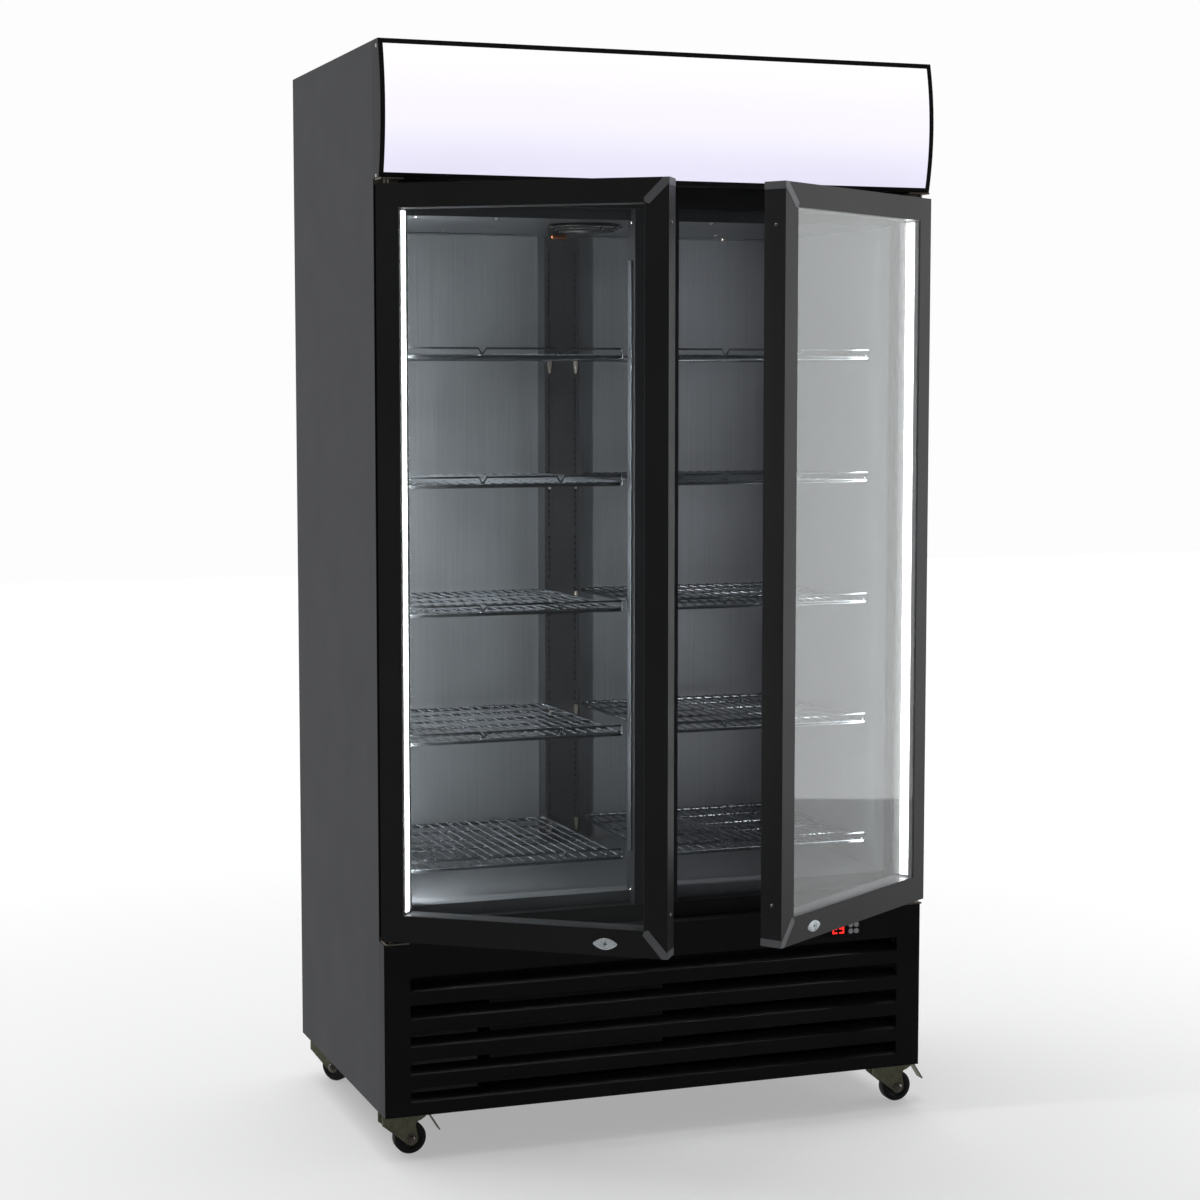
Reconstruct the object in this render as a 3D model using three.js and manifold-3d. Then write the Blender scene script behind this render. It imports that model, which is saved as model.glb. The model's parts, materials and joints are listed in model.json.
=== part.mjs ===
// Glass door merchandiser: an upright refrigerated display cabinet with two hinged glass doors,
// a lit header, wire shelves, a louvred machine compartment and four swivel castors.
// Units are millimetres, +Z is up, the doors face -Y and +X is to the right of someone facing them.
// While it is built, X = 0 is the middle of the case, y = 0 is the front plane of the machine
// compartment and z = 0 is the underside of the base. At the end the whole group moves so that the
// origin lies on the floor, under the middle of its bounding box.

import * as THREE from 'three';
import { mergeVertices } from 'three/addons/utils/BufferGeometryUtils.js';
import Module from 'manifold-3d';

const wasm = await Module();
wasm.setup();

// ---- Driving dimensions ----

// Case
const WIDTH = 1120; // over the two side panels
const DEPTH = 672; // front plane of the machine compartment to the back panel
const HEIGHT = 2005; // underside of the base to the top panel
const SHEET = 1.2; // case, liner and cover sheet
const SEAT_GAP = 0.3; // between two pieces that rest on each other
const OVERCUT = 1; // how far a cutting block runs past the face it cuts
const CASE_SETBACK = 35; // front edge of the case behind the front plane

// Machine compartment and its grille
const MACHINE_HEIGHT = 333;
const GRILLE_SIDE_MARGIN = 51;
const GRILLE_STRIP = 67; // plain strip above the louvres, which holds the controller
const GRILLE_FOOT = 25.5; // plain strip below the louvres
const LOUVRE_COUNT = 5;
const LOUVRE_SLOT = 27;
const LOUVRE_DEPTH = 18;
const LOUVRE_RISE = 15;

// Header
const HEADER_HEIGHT = 250;
const HEADER_REACH = 4; // rim in front of the front plane
const HEADER_BULGE = 17; // the sign stands this far in front of the rim
const HEADER_RIM = 9;
const SIGN_THICKNESS = 3;
const SIGN_STEPS = 14;

// Front frame, liner and insulation
const FRAME_DEPTH = 25;
const WALL = 52; // side wall from the outside of the case to the inside of the liner
const REAR_WALL = 36;
const ROOF = 64;
const SILL_RAIL = 33;
const HEAD_RAIL = 42;
const SILL_STEP = 24; // liner floor above the sill rail
const CEILING_DROP = 21; // evaporator cover below the head rail
const COMPARTMENT_CLEARANCE = 3; // insulation above the machine compartment
const COVER_LIP = 21; // how far the evaporator cover's lip stands up behind the head rail
const AIR_SLOT_DEPTH = 26; // slots that let cold air down behind the shelves
const AIR_SLOT_MARGIN = 26; // from the slot's ends to the centre pilaster and the side wall

// Doors
const DOOR_SIDE_GAP = 2; // from the outside of the case
const DOOR_CENTRE_GAP = 12; // between the closed doors
const DOOR_FOOT_GAP = 9;
const DOOR_HEAD_GAP = 11.5;
const DOOR_DEPTH = 45;
const DOOR_STILE = 44;
const DOOR_FOOT_RAIL = 50;
const DOOR_OPEN_LEFT = 36; // degrees, as it stands
const DOOR_OPEN_RIGHT = 34.5;
const GASKET_DEPTH = 4.5;
const GASKET_WIDTH = 22;
const GASKET_INSET = 12;
const GASKET_CLEARANCE = 0.5;
const GLASS_THICKNESS = 10;
const GLASS_SETBACK = 2; // behind the front of the door
const GLASS_SEAT = 9; // how far the glass reaches into the door frame
const GLASS_CLEARANCE = 0.4;
const LOCK_FROM_FREE_EDGE = 117;
const LOCK_HEIGHT = 22;
const LOCK_RADIUS = 8;
const LOCK_LENGTH = 24;
const LOCK_PROUD = 1.5;
const LOCK_CLEARANCE = 0.4;
const KEYWAY_WIDTH = 2;
const KEYWAY_LENGTH = 9;
const KEYWAY_DEPTH = 10;

// Hinges
const PIVOT_INSET = 14; // hinge axis from the side edge of the door
const PIVOT_SETBACK = 18; // hinge axis from the front face of the door
const PIN_RADIUS = 4.5;
const PIN_CLEARANCE = 0.4;
const PIN_ENGAGEMENT = 14;
const HINGE_PLATE = 3;
const HINGE_WIDTH = 44;
const HINGE_NOSE = 14; // plate in front of the hinge axis
const HINGE_LEG_GAP = 1; // from the plate's leg to the door's end
const PIN_END_GAP = 2; // from the pin's end to the bottom of its hole

// Mullion and pilasters
const MULLION_WIDTH = 90;
const MULLION_DEPTH = 42;
const CENTRE_PILASTER_WIDTH = 79;
const CENTRE_PILASTER_DEPTH = 45;
const SIDE_PILASTER_WIDTH = 26;
const SIDE_PILASTER_DEPTH = 9;
const SIDE_PILASTER_FROM_REAR = 70;
const CLIP_SLOT_HEIGHT = 9;
const CLIP_SLOT_WIDTH = 3.5;
const CLIP_SLOT_EDGE = 9; // slot column from the edge of its pilaster

// Lamps in the doors
const LAMP_DEPTH = 24;
const LAMP_THICKNESS = 3;
const LAMP_GAP = 0.4; // from the back of the glass

// Shelves
const SHELF_LEVELS = 5;
const LOWEST_SHELF = 56; // above the liner floor
const TOP_BAY = 261; // from the highest shelf to the ceiling
const SHELF_FRONT = 108;
const SHELF_END_GAP = 3; // to the side pilasters and the line of the centre pilaster
const SHELF_REAR_GAP = 4;
const SHELF_RAIL = 8.5;
const SHELF_DECK = 5;
const SHELF_BAR = 6;
const SHELF_SLOTS = 12;
const SHELF_WIRE = 4;
const SHELF_WIRE_RISE = 16.5;
const NOTCH_WIDTH = 25;
const NOTCH_SPACING = 161;
const NOTCH_FROM_INNER_END = 131;

// Ceiling fan
const FAN_RADIUS = 72;
const FAN_OFF_CENTRE = -82;
const FAN_FROM_FRONT = 215;
const FAN_TIP_CLEARANCE = 5;
const FAN_HUB_RADIUS = 20;
const FAN_HUB_HEIGHT = 26;
const FAN_BLADES = 5;
const FAN_BLADE = 1.6;
const FAN_CHORD = 34;
const FAN_PITCH = 28; // degrees
const FAN_ABOVE_COVER = 8;

// Condensing set
const CONDENSER_WIDTH = 360;
const CONDENSER_HEIGHT = 210;
const CONDENSER_DEPTH = 80;
const CONDENSER_RECESS = 34;
const CONDENSER_CENTRE = -150;
const CONDENSER_BEHIND_GRILLE = 40;
const CONDENSER_FAN_RADIUS = 88;
const COMPRESSOR_RADIUS = 74;
const COMPRESSOR_HEIGHT = 168;
const COMPRESSOR_DOME = 41;
const COMPRESSOR_CENTRE = 190;
const COMPRESSOR_FROM_REAR = 230;
const COMPRESSOR_FOOT = 190;
const COMPRESSOR_FOOT_HEIGHT = 12;

// Controller
const CONTROLLER_WIDTH = 88;
const CONTROLLER_HEIGHT = 34;
const CONTROLLER_DEPTH = 24;
const CONTROLLER_FROM_SIDE = 174; // its middle from the right side of the case
const CONTROLLER_FROM_TOP = 40; // its middle below the top of the grille
const CONTROLLER_RECESS = 0.8;
const BUTTON_RADIUS = 5.2;
const BUTTON_GAP_X = 1.6;
const BUTTON_GAP_Z = 2.6;
const BUTTON_COLUMN = 26; // middle of the four buttons from the middle of the controller
const BUTTON_LENGTH = 5;
const BUTTON_PROUD = 1.5;
const BUTTON_CLEARANCE = 0.3;
const BUTTON_WELL = 5.5;

// Base, vents and power inlet
const BASE_SHEET = 2;
const BASE_FLANGE = 25;
const VENT_ROWS = 9;
const VENT_HEIGHT = 6;
const VENT_LENGTH = 190;
const VENT_CENTRE = 230;
const VENT_MARGIN = 60; // from the top and the bottom of the machine compartment
const INLET_RADIUS = 9;
const INLET_FLANGE_RADIUS = 14;
const INLET_FROM_SIDE = 120;
const INLET_HEIGHT = 60;
const INLET_OUTSIDE = 12;
const INLET_INSIDE = 9;
const INLET_CLEARANCE = 0.4;
const INLET_BORE_RADIUS = 4.5;
const INLET_NUT_THICKNESS = 6;

// Castors
const CASTOR_HEIGHT = 88; // floor to the underside of the base
const CASTOR_INSET_X = 43;
const CASTOR_INSET_Y = 60;
const CASTOR_TRAIL = 20;
const REAR_TRAIL_ANGLE = -52; // degrees from +X
const PLATE_SIZE = 70;
const PLATE_THICKNESS = 2;
const RACE_RADIUS = 22;
const RACE_HEIGHT = 2;
const WHEEL_RADIUS = 31.5;
const WHEEL_WIDTH = 24;
const WHEEL_SHOULDER = 3;
const HUB_RADIUS = 10;
const HUB_WIDTH = 26;
const AXLE_RADIUS = 4;
const AXLE_CLEARANCE = 0.4;
const FORK_SHEET = 2.5;
const FORK_SIDE_CLEARANCE = 1.5;
const FORK_TAIL = 37; // top of the fork behind the swivel axis
const FORK_NOSE = 49; // top of the fork past the swivel axis, over the wheel
const FORK_SHOULDER = 22; // height of the fork's side at its tail
const FORK_NOSE_HEIGHT = 11; // height of the fork's side at its nose
const FORK_NOTCH_RADIUS = 9; // round cut-out between the axle boss and the nose
const FORK_NOTCH_FROM_BOSS = 5;
const FORK_NOTCH_ABOVE_AXLE = 25.5;
const BOSS_RADIUS = 13;
const BOLT_HEAD_RADIUS = 8;
const BOLT_HEAD_THICKNESS = 2;
const PEDAL_SHEET = 2.5;
const PEDAL_WIDTH = 24;
const PEDAL_LENGTH = 44;
const PEDAL_ANGLE = -58; // degrees below +X
const PEDAL_DROP = 10; // pedal hinge below the underside of the base
const PEDAL_BARREL = 3.5;
const PEDAL_GAP = 0.5; // from the fork's nose to the pedal's barrel

// Facets of round shapes
const ROUND_SIDES = 16; // of a small round bar
const WHEEL_SIDES = 24;
const ARC_STEPS = 5;
const HEX_SIDES = 6;

// ---- Places that follow from the driving dimensions ----

const HALF = WIDTH / 2;
const INNER_HALF = HALF - SHEET - SEAT_GAP; // for what fits between the side panels
const BACK_PLANE = DEPTH - SHEET - SEAT_GAP; // for what ends at the back panel
const TOP_PLANE = HEIGHT - SHEET - SEAT_GAP; // for what ends under the top panel
const HEADER_FOOT = HEIGHT - HEADER_HEIGHT;
const OPENING_HALF = HALF - WALL;
const OPENING_FOOT = MACHINE_HEIGHT + SILL_RAIL;
const OPENING_HEAD = HEADER_FOOT - HEAD_RAIL;
const LINER_FLOOR = OPENING_FOOT + SILL_STEP;
const LINER_FRONT = CASE_SETBACK + FRAME_DEPTH + SEAT_GAP;
const LINER_BACK = DEPTH - REAR_WALL;
const LINER_ROOF = HEIGHT - ROOF;
const CEILING = OPENING_HEAD - CEILING_DROP;
const DOOR_FRONT = CASE_SETBACK - GASKET_CLEARANCE - GASKET_DEPTH - DOOR_DEPTH;
const DOOR_WIDTH = HALF - DOOR_SIDE_GAP - DOOR_CENTRE_GAP / 2;
const DOOR_FOOT = MACHINE_HEIGHT + DOOR_FOOT_GAP;
const DOOR_HEAD = HEADER_FOOT - DOOR_HEAD_GAP;
const PIVOT_X = HALF - DOOR_SIDE_GAP - PIVOT_INSET;
const PIVOT_Y = DOOR_FRONT + PIVOT_SETBACK;
const AXLE_DROP = CASTOR_HEIGHT - WHEEL_RADIUS;

// ---- Finishes ----

const FINISHES = {
  casePaint: { color: 0x3f3f3f, roughness: 0.45, metalness: 0.2 },
  blackPaint: { color: 0x1a1a1b, roughness: 0.4, metalness: 0.1 },
  linerMetal: { color: 0x5c5d5f, roughness: 0.35, metalness: 0.8 },
  foam: { color: 0xd9cf9e, roughness: 0.95, metalness: 0 },
  blackPlastic: { color: 0x161617, roughness: 0.5, metalness: 0 },
  doorPaint: { color: 0x232323, roughness: 0.4, metalness: 0.2 },
  glass: { color: 0xbfc8ca, roughness: 0.05, metalness: 0 },
  sign: { color: 0xf2f0ff, roughness: 0.3, metalness: 0 },
  lamp: { color: 0xffffff, roughness: 0.4, metalness: 0 },
  gasket: { color: 0x101010, roughness: 0.8, metalness: 0 },
  chrome: { color: 0xb8c4c8, roughness: 0.2, metalness: 1 },
  button: { color: 0x8f8f8f, roughness: 0.6, metalness: 0 },
  zinc: { color: 0x8a8a78, roughness: 0.4, metalness: 0.8 },
  wheel: { color: 0x202020, roughness: 0.6, metalness: 0 },
  fin: { color: 0x9a9c9e, roughness: 0.4, metalness: 0.8 },
};

// ---- Solids ----

const cabinet = new THREE.Group();

// Turns a closed three.js geometry into a solid that can be joined and cut.
function solid(geometry) {
  const bare = geometry.clone();
  bare.deleteAttribute('normal');
  bare.deleteAttribute('uv');
  const merged = mergeVertices(bare, 1e-4);
  return new wasm.Manifold(new wasm.Mesh({
    numProp: 3,
    vertProperties: new Float32Array(merged.attributes.position.array),
    triVerts: new Uint32Array(merged.index.array),
  }));
}

// Turns a solid back into a three.js geometry.
function geometryOf(body) {
  const { numProp, vertProperties, triVerts } = body.getMesh();
  const geometry = new THREE.BufferGeometry();
  geometry.setAttribute('position', new THREE.BufferAttribute(vertProperties, numProp));
  geometry.setIndex(new THREE.BufferAttribute(triVerts, 1));
  geometry.computeVertexNormals();
  return geometry;
}

// A block between two corners given as X, Y and Z ranges, in either order.
function block(xs, ys, zs) {
  const size = [xs, ys, zs].map(([a, b]) => Math.abs(b - a));
  const middle = [xs, ys, zs].map(([a, b]) => (a + b) / 2);
  return solid(new THREE.BoxGeometry(...size).translate(...middle));
}

// A round bar about X, Y or Z, from one end to the other.
function bar(axis, radius, middle, from, to, sides = ROUND_SIDES) {
  const geometry = new THREE.CylinderGeometry(radius, radius, Math.abs(to - from), sides);
  if (axis === 'x') geometry.rotateZ(-Math.PI / 2);
  if (axis === 'z') geometry.rotateX(Math.PI / 2);
  const along = (from + to) / 2;
  const [a, b] = middle;
  const place = { x: [along, a, b], y: [a, along, b], z: [a, b, along] }[axis];
  return solid(geometry.translate(...place));
}

// An outline in the Y-Z plane, given as [y, z] corners, drawn out along X.
function alongX(corners, from, to) {
  const shape = new THREE.Shape(corners.map(([y, z]) => new THREE.Vector2(y, z)));
  const geometry = new THREE.ExtrudeGeometry(shape, { depth: to - from, bevelEnabled: false });
  geometry.applyMatrix4(new THREE.Matrix4().set(0, 0, 1, from, 1, 0, 0, 0, 0, 1, 0, 0, 0, 0, 0, 1));
  return solid(geometry);
}

// An outline in the X-Z plane, given as a three.js shape, drawn out along Y.
function alongY(shape, from, to) {
  const settings = { depth: to - from, bevelEnabled: false, curveSegments: ARC_STEPS };
  const geometry = new THREE.ExtrudeGeometry(shape, settings);
  geometry.rotateX(Math.PI / 2);
  return solid(geometry.translate(0, to, 0));
}

function shapeOf(corners) {
  return new THREE.Shape(corners.map(([x, z]) => new THREE.Vector2(x, z)));
}

function joined(bodies) {
  return bodies.reduce((whole, body) => whole.add(body));
}

function cut(body, tools) {
  return tools.reduce((rest, tool) => rest.subtract(tool), body);
}

function count(n) {
  return Array.from({ length: n }, (_, i) => i);
}

// Names a solid, gives it its own material and puts it into a group.
function place(name, body, finish, parent = cabinet) {
  const mesh = new THREE.Mesh(geometryOf(body), new THREE.MeshStandardMaterial(FINISHES[finish]));
  mesh.name = name;
  parent.add(mesh);
}

// ---- Case ----

function buildCase() {
  for (const [name, side] of [['side_panel_left', -1], ['side_panel_right', 1]]) {
    const panel = block([side * HALF, side * (HALF - SHEET)], [CASE_SETBACK, DEPTH], [0, HEIGHT]);
    place(name, panel, 'casePaint');
  }
  const top = block([-INNER_HALF, INNER_HALF], [CASE_SETBACK, BACK_PLANE], [HEIGHT - SHEET, HEIGHT]);
  place('top_panel', top, 'casePaint');
  place('back_panel', backPanel(), 'casePaint');
  place('base_frame', baseFrame(), 'blackPaint');
}

function inletPlace() {
  return [HALF - INLET_FROM_SIDE, INLET_HEIGHT];
}

function backPanel() {
  const across = [DEPTH - SHEET, DEPTH];
  const through = [across[0] - OVERCUT, across[1] + OVERCUT];
  const sheet = block([-INNER_HALF, INNER_HALF], across, [0, HEIGHT]);
  const span = MACHINE_HEIGHT - 2 * VENT_MARGIN - VENT_HEIGHT;
  const vents = [-1, 1].flatMap((side) => count(VENT_ROWS).map((row) => {
    const foot = VENT_MARGIN + (span * row) / (VENT_ROWS - 1);
    const ends = [side * VENT_CENTRE - VENT_LENGTH / 2, side * VENT_CENTRE + VENT_LENGTH / 2];
    return block(ends, through, [foot, foot + VENT_HEIGHT]);
  }));
  const inletHole = bar('y', INLET_RADIUS + INLET_CLEARANCE, inletPlace(), ...through);
  return cut(sheet, [...vents, inletHole]);
}

function baseFrame() {
  const span = [CASE_SETBACK, BACK_PLANE];
  const across = [-INNER_HALF, INNER_HALF];
  const floor = block(across, span, [0, BASE_SHEET]);
  const front = block(across, [span[0], span[0] + BASE_SHEET], [0, BASE_FLANGE]);
  const back = block(across, [span[1] - BASE_SHEET, span[1]], [0, BASE_FLANGE]);
  const plates = castorPlaces().map(({ x, y }) => {
    const half = PLATE_SIZE / 2;
    return block([x - half, x + half], [y - half, y + half], [-PLATE_THICKNESS, BASE_SHEET / 2]);
  });
  const races = castorPlaces().map(({ x, y }) => (
    bar('z', RACE_RADIUS, [x, y], -PLATE_THICKNESS - RACE_HEIGHT, 0)
  ));
  return joined([floor, front, back, ...plates, ...races]);
}

// ---- Machine compartment ----

function buildGrille() {
  const top = MACHINE_HEIGHT;
  const back = CASE_SETBACK - SEAT_GAP;
  const hollow = block([SHEET - HALF, HALF - SHEET], [SHEET, back + OVERCUT], [-OVERCUT, top - SHEET]);
  const throughFace = [-OVERCUT, SHEET + OVERCUT];
  const slotHalf = HALF - GRILLE_SIDE_MARGIN;
  const pitch = (top - GRILLE_STRIP - GRILLE_FOOT - LOUVRE_SLOT) / (LOUVRE_COUNT - 1);
  const slots = [];
  const blades = [];
  for (const row of count(LOUVRE_COUNT)) {
    const foot = GRILLE_FOOT + pitch * row;
    slots.push(block([-slotHalf, slotHalf], throughFace, [foot, foot + LOUVRE_SLOT]));
    const blade = [
      [0, foot],
      [SHEET, foot - SHEET],
      [LOUVRE_DEPTH, foot + LOUVRE_RISE - SHEET],
      [LOUVRE_DEPTH, foot + LOUVRE_RISE],
    ];
    blades.push(alongX(blade, -slotHalf - SHEET, slotHalf + SHEET));
  }
  const [x, z] = controllerMiddle();
  const halfWidth = CONTROLLER_WIDTH / 2 + SEAT_GAP;
  const halfHeight = CONTROLLER_HEIGHT / 2 + SEAT_GAP;
  const window = block([x - halfWidth, x + halfWidth], throughFace, [z - halfHeight, z + halfHeight]);
  const shell = cut(block([-HALF, HALF], [0, back], [0, top]), [hollow, ...slots, window]);
  place('front_grille', joined([shell, ...blades]), 'blackPaint');
}

function controllerMiddle() {
  return [HALF - CONTROLLER_FROM_SIDE, MACHINE_HEIGHT - CONTROLLER_FROM_TOP];
}

function buildController() {
  const [x, z] = controllerMiddle();
  const halfWidth = CONTROLLER_WIDTH / 2;
  const halfHeight = CONTROLLER_HEIGHT / 2;
  const face = CONTROLLER_RECESS;
  const span = [face, face + CONTROLLER_DEPTH];
  const body = block([x - halfWidth, x + halfWidth], span, [z - halfHeight, z + halfHeight]);
  const wells = [];
  for (const row of [0, 1]) {
    for (const column of [0, 1]) {
      const buttonX = x + BUTTON_COLUMN + (column - 0.5) * (2 * BUTTON_RADIUS + BUTTON_GAP_X);
      const buttonZ = z + (0.5 - row) * (2 * BUTTON_RADIUS + BUTTON_GAP_Z);
      const wellRadius = BUTTON_RADIUS + BUTTON_CLEARANCE;
      wells.push(bar('y', wellRadius, [buttonX, buttonZ], face - OVERCUT, face + BUTTON_WELL));
      const tip = face - BUTTON_PROUD;
      const button = bar('y', BUTTON_RADIUS, [buttonX, buttonZ], tip, tip + BUTTON_LENGTH);
      place(`controller_button_${row * 2 + column + 1}`, button, 'button');
    }
  }
  place('controller_housing', cut(body, wells), 'blackPlastic');
}

// A fan about the Z axis through the origin, standing on z = 0, with twisted-flat blades.
function fanBody(radius) {
  const hub = bar('z', FAN_HUB_RADIUS, [0, 0], 0, FAN_HUB_HEIGHT);
  const reach = radius - FAN_TIP_CLEARANCE - FAN_HUB_RADIUS / 2;
  const blades = count(FAN_BLADES).map((i) => {
    const blade = new THREE.BoxGeometry(reach, FAN_CHORD, FAN_BLADE);
    blade.translate(reach / 2 + FAN_HUB_RADIUS / 2, 0, 0);
    blade.rotateX(THREE.MathUtils.degToRad(FAN_PITCH));
    blade.rotateZ((i * 2 * Math.PI) / FAN_BLADES);
    return solid(blade.translate(0, 0, FAN_HUB_HEIGHT / 2));
  });
  const blank = bar('z', radius - FAN_TIP_CLEARANCE, [0, 0], 0, FAN_HUB_HEIGHT, WHEEL_SIDES);
  return joined([hub, ...blades]).intersect(blank);
}

function buildCondensingSet() {
  const foot = BASE_SHEET + SEAT_GAP;
  const front = CONDENSER_BEHIND_GRILLE + CASE_SETBACK;
  const x = CONDENSER_CENTRE;
  const half = CONDENSER_WIDTH / 2;
  const back = front + CONDENSER_DEPTH;
  const coil = block([x - half, x + half], [front, back], [foot, foot + CONDENSER_HEIGHT]);
  const fanZ = foot + CONDENSER_HEIGHT / 2;
  const recessSpan = [back - CONDENSER_RECESS, back + OVERCUT];
  const recess = bar('y', CONDENSER_FAN_RADIUS, [x, fanZ], ...recessSpan, WHEEL_SIDES);
  place('condenser_unit', cut(coil, [recess]), 'fin');

  const seat = new THREE.Group();
  seat.position.set(x, back - (CONDENSER_RECESS - FAN_HUB_HEIGHT) / 2, fanZ);
  seat.rotation.x = Math.PI / 2;
  cabinet.add(seat);
  place('condenser_fan', fanBody(CONDENSER_FAN_RADIUS), 'blackPlastic', seat);

  place('compressor', compressorBody(), 'blackPaint');
}

// A welded can with a domed lid and a skirt, on a square foot.
function compressorBody() {
  const foot = BASE_SHEET + SEAT_GAP;
  const shoulder = COMPRESSOR_HEIGHT - COMPRESSOR_DOME;
  const profile = [new THREE.Vector2(0, 0), new THREE.Vector2(COMPRESSOR_RADIUS, 0)];
  for (const i of count(ARC_STEPS)) {
    const angle = (i * Math.PI) / 2 / ARC_STEPS;
    const height = shoulder + Math.sin(angle) * COMPRESSOR_DOME;
    profile.push(new THREE.Vector2(Math.cos(angle) * COMPRESSOR_RADIUS, height));
  }
  profile.push(new THREE.Vector2(0, COMPRESSOR_HEIGHT));
  const can = new THREE.LatheGeometry(profile, WHEEL_SIDES).rotateX(Math.PI / 2);
  const x = COMPRESSOR_CENTRE;
  const y = DEPTH - COMPRESSOR_FROM_REAR;
  const half = COMPRESSOR_FOOT / 2;
  const plateTop = foot + COMPRESSOR_FOOT_HEIGHT;
  const plate = block([x - half, x + half], [y - half, y + half], [foot, plateTop]);
  return joined([plate, solid(can.translate(x, y, plateTop - COMPRESSOR_FOOT_HEIGHT / 2))]);
}

function buildInlet() {
  const middle = inletPlace();
  const inside = DEPTH - SHEET - INLET_INSIDE;
  const nutFoot = DEPTH + SEAT_GAP;
  const end = DEPTH + INLET_OUTSIDE;
  const stem = bar('y', INLET_RADIUS, middle, inside, end);
  const nut = bar('y', INLET_FLANGE_RADIUS, middle, nutFoot, nutFoot + INLET_NUT_THICKNESS, HEX_SIDES);
  const bore = bar('y', INLET_BORE_RADIUS, middle, DEPTH, end + OVERCUT);
  place('cord_inlet', cut(joined([stem, nut]), [bore]), 'blackPlastic');
}

// ---- Header ----

// Outline of the header seen from the side: straight back, bowed front, moved in by a margin.
function headerOutline(margin, back) {
  const foot = HEADER_FOOT + margin;
  const head = HEIGHT - margin;
  const bow = count(SIGN_STEPS + 1).map((i) => {
    const t = (2 * i) / SIGN_STEPS - 1;
    const z = (foot + head) / 2 + (t * (head - foot)) / 2;
    return [bowedFront(z), z];
  });
  return [[back, foot], ...bow, [back, head]];
}

// The bowed front as a parabola between the two rims.
function bowedFront(z) {
  const t = (2 * (z - HEADER_FOOT)) / HEADER_HEIGHT - 1;
  return -HEADER_REACH - HEADER_BULGE * (1 - t * t);
}

function buildHeader() {
  const back = CASE_SETBACK - SEAT_GAP;
  const outside = alongX(headerOutline(0, back), -HALF, HALF);
  const cavityHalf = HALF - HEADER_RIM;
  const cavityFront = -HEADER_REACH - HEADER_BULGE - OVERCUT;
  const heights = [HEADER_FOOT + HEADER_RIM, HEIGHT - HEADER_RIM];
  const cavity = block([-cavityHalf, cavityHalf], [cavityFront, back - SHEET], heights);
  place('header_housing', cut(outside, [cavity]), 'blackPaint');

  const margin = HEADER_RIM + SEAT_GAP;
  const signHalf = cavityHalf - SEAT_GAP;
  const front = headerOutline(margin, back).slice(1, -1);
  const rear = front.map(([y, z]) => [y + SIGN_THICKNESS, z]).reverse();
  place('header_sign_panel', alongX([...front, ...rear], -signHalf, signHalf), 'sign');
}

// ---- Insulated body ----

function buildInsulatedBody() {
  const frameBack = CASE_SETBACK + FRAME_DEPTH;
  const frame = block([-INNER_HALF, INNER_HALF], [CASE_SETBACK, frameBack],
    [MACHINE_HEIGHT + SEAT_GAP, HEADER_FOOT - SEAT_GAP]);
  const opening = block([-OPENING_HALF, OPENING_HALF], [0, frameBack + OVERCUT],
    [OPENING_FOOT, OPENING_HEAD]);
  place('front_frame', cut(frame, [opening]), 'blackPlastic');

  const half = OPENING_HALF;
  const skin = SHEET;
  const shell = block([-half - skin, half + skin], [LINER_FRONT, LINER_BACK + skin],
    [LINER_FLOOR - skin, LINER_ROOF + skin]);
  const room = block([-half, half], [LINER_FRONT + skin, LINER_BACK], [LINER_FLOOR, LINER_ROOF]);
  const mouth = block([-half, half], [0, LINER_FRONT + skin + OVERCUT], [LINER_FLOOR, OPENING_HEAD]);
  const sill = block([-half - skin, half + skin], [LINER_FRONT, LINER_FRONT + skin],
    [OPENING_FOOT, LINER_FLOOR - skin / 2]);
  place('inner_liner', joined([cut(shell, [room, mouth]), sill]), 'linerMetal');

  const gap = SEAT_GAP;
  const foamHalf = INNER_HALF - gap;
  const foam = block([-foamHalf, foamHalf], [LINER_FRONT + skin + gap, BACK_PLANE],
    [MACHINE_HEIGHT + COMPARTMENT_CLEARANCE, TOP_PLANE]);
  const hollow = block([-half - skin - gap, half + skin + gap], [0, LINER_BACK + skin + gap],
    [LINER_FLOOR - skin - gap, LINER_ROOF + skin + gap]);
  place('insulation_foam', cut(foam, [hollow]), 'foam');
}

function buildEvaporator() {
  const half = OPENING_HALF - SEAT_GAP;
  const front = LINER_FRONT + SHEET + SEAT_GAP;
  const rear = LINER_BACK - SEAT_GAP;
  const lip = block([-half, half], [front, front + SHEET], [CEILING, OPENING_HEAD + COVER_LIP]);
  const tray = block([-half, half], [front, rear], [CEILING, CEILING + SHEET]);
  const fanPlace = [FAN_OFF_CENTRE, FAN_FROM_FRONT];
  const through = [CEILING - OVERCUT, CEILING + SHEET + OVERCUT];
  const hole = bar('z', FAN_RADIUS, fanPlace, ...through, WHEEL_SIDES);
  const slotRear = LINER_BACK - CENTRE_PILASTER_DEPTH - SHELF_REAR_GAP;
  const slots = [-1, 1].map((side) => block(
    [side * (CENTRE_PILASTER_WIDTH / 2 + AIR_SLOT_MARGIN), side * (half - AIR_SLOT_MARGIN)],
    [slotRear - AIR_SLOT_DEPTH, slotRear], through,
  ));
  place('evaporator_cover', cut(joined([lip, tray]), [hole, ...slots]), 'linerMetal');

  const seat = new THREE.Group();
  seat.position.set(...fanPlace, CEILING + SHEET + FAN_ABOVE_COVER);
  cabinet.add(seat);
  place('evaporator_fan', fanBody(FAN_RADIUS), 'blackPlastic', seat);
}

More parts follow.
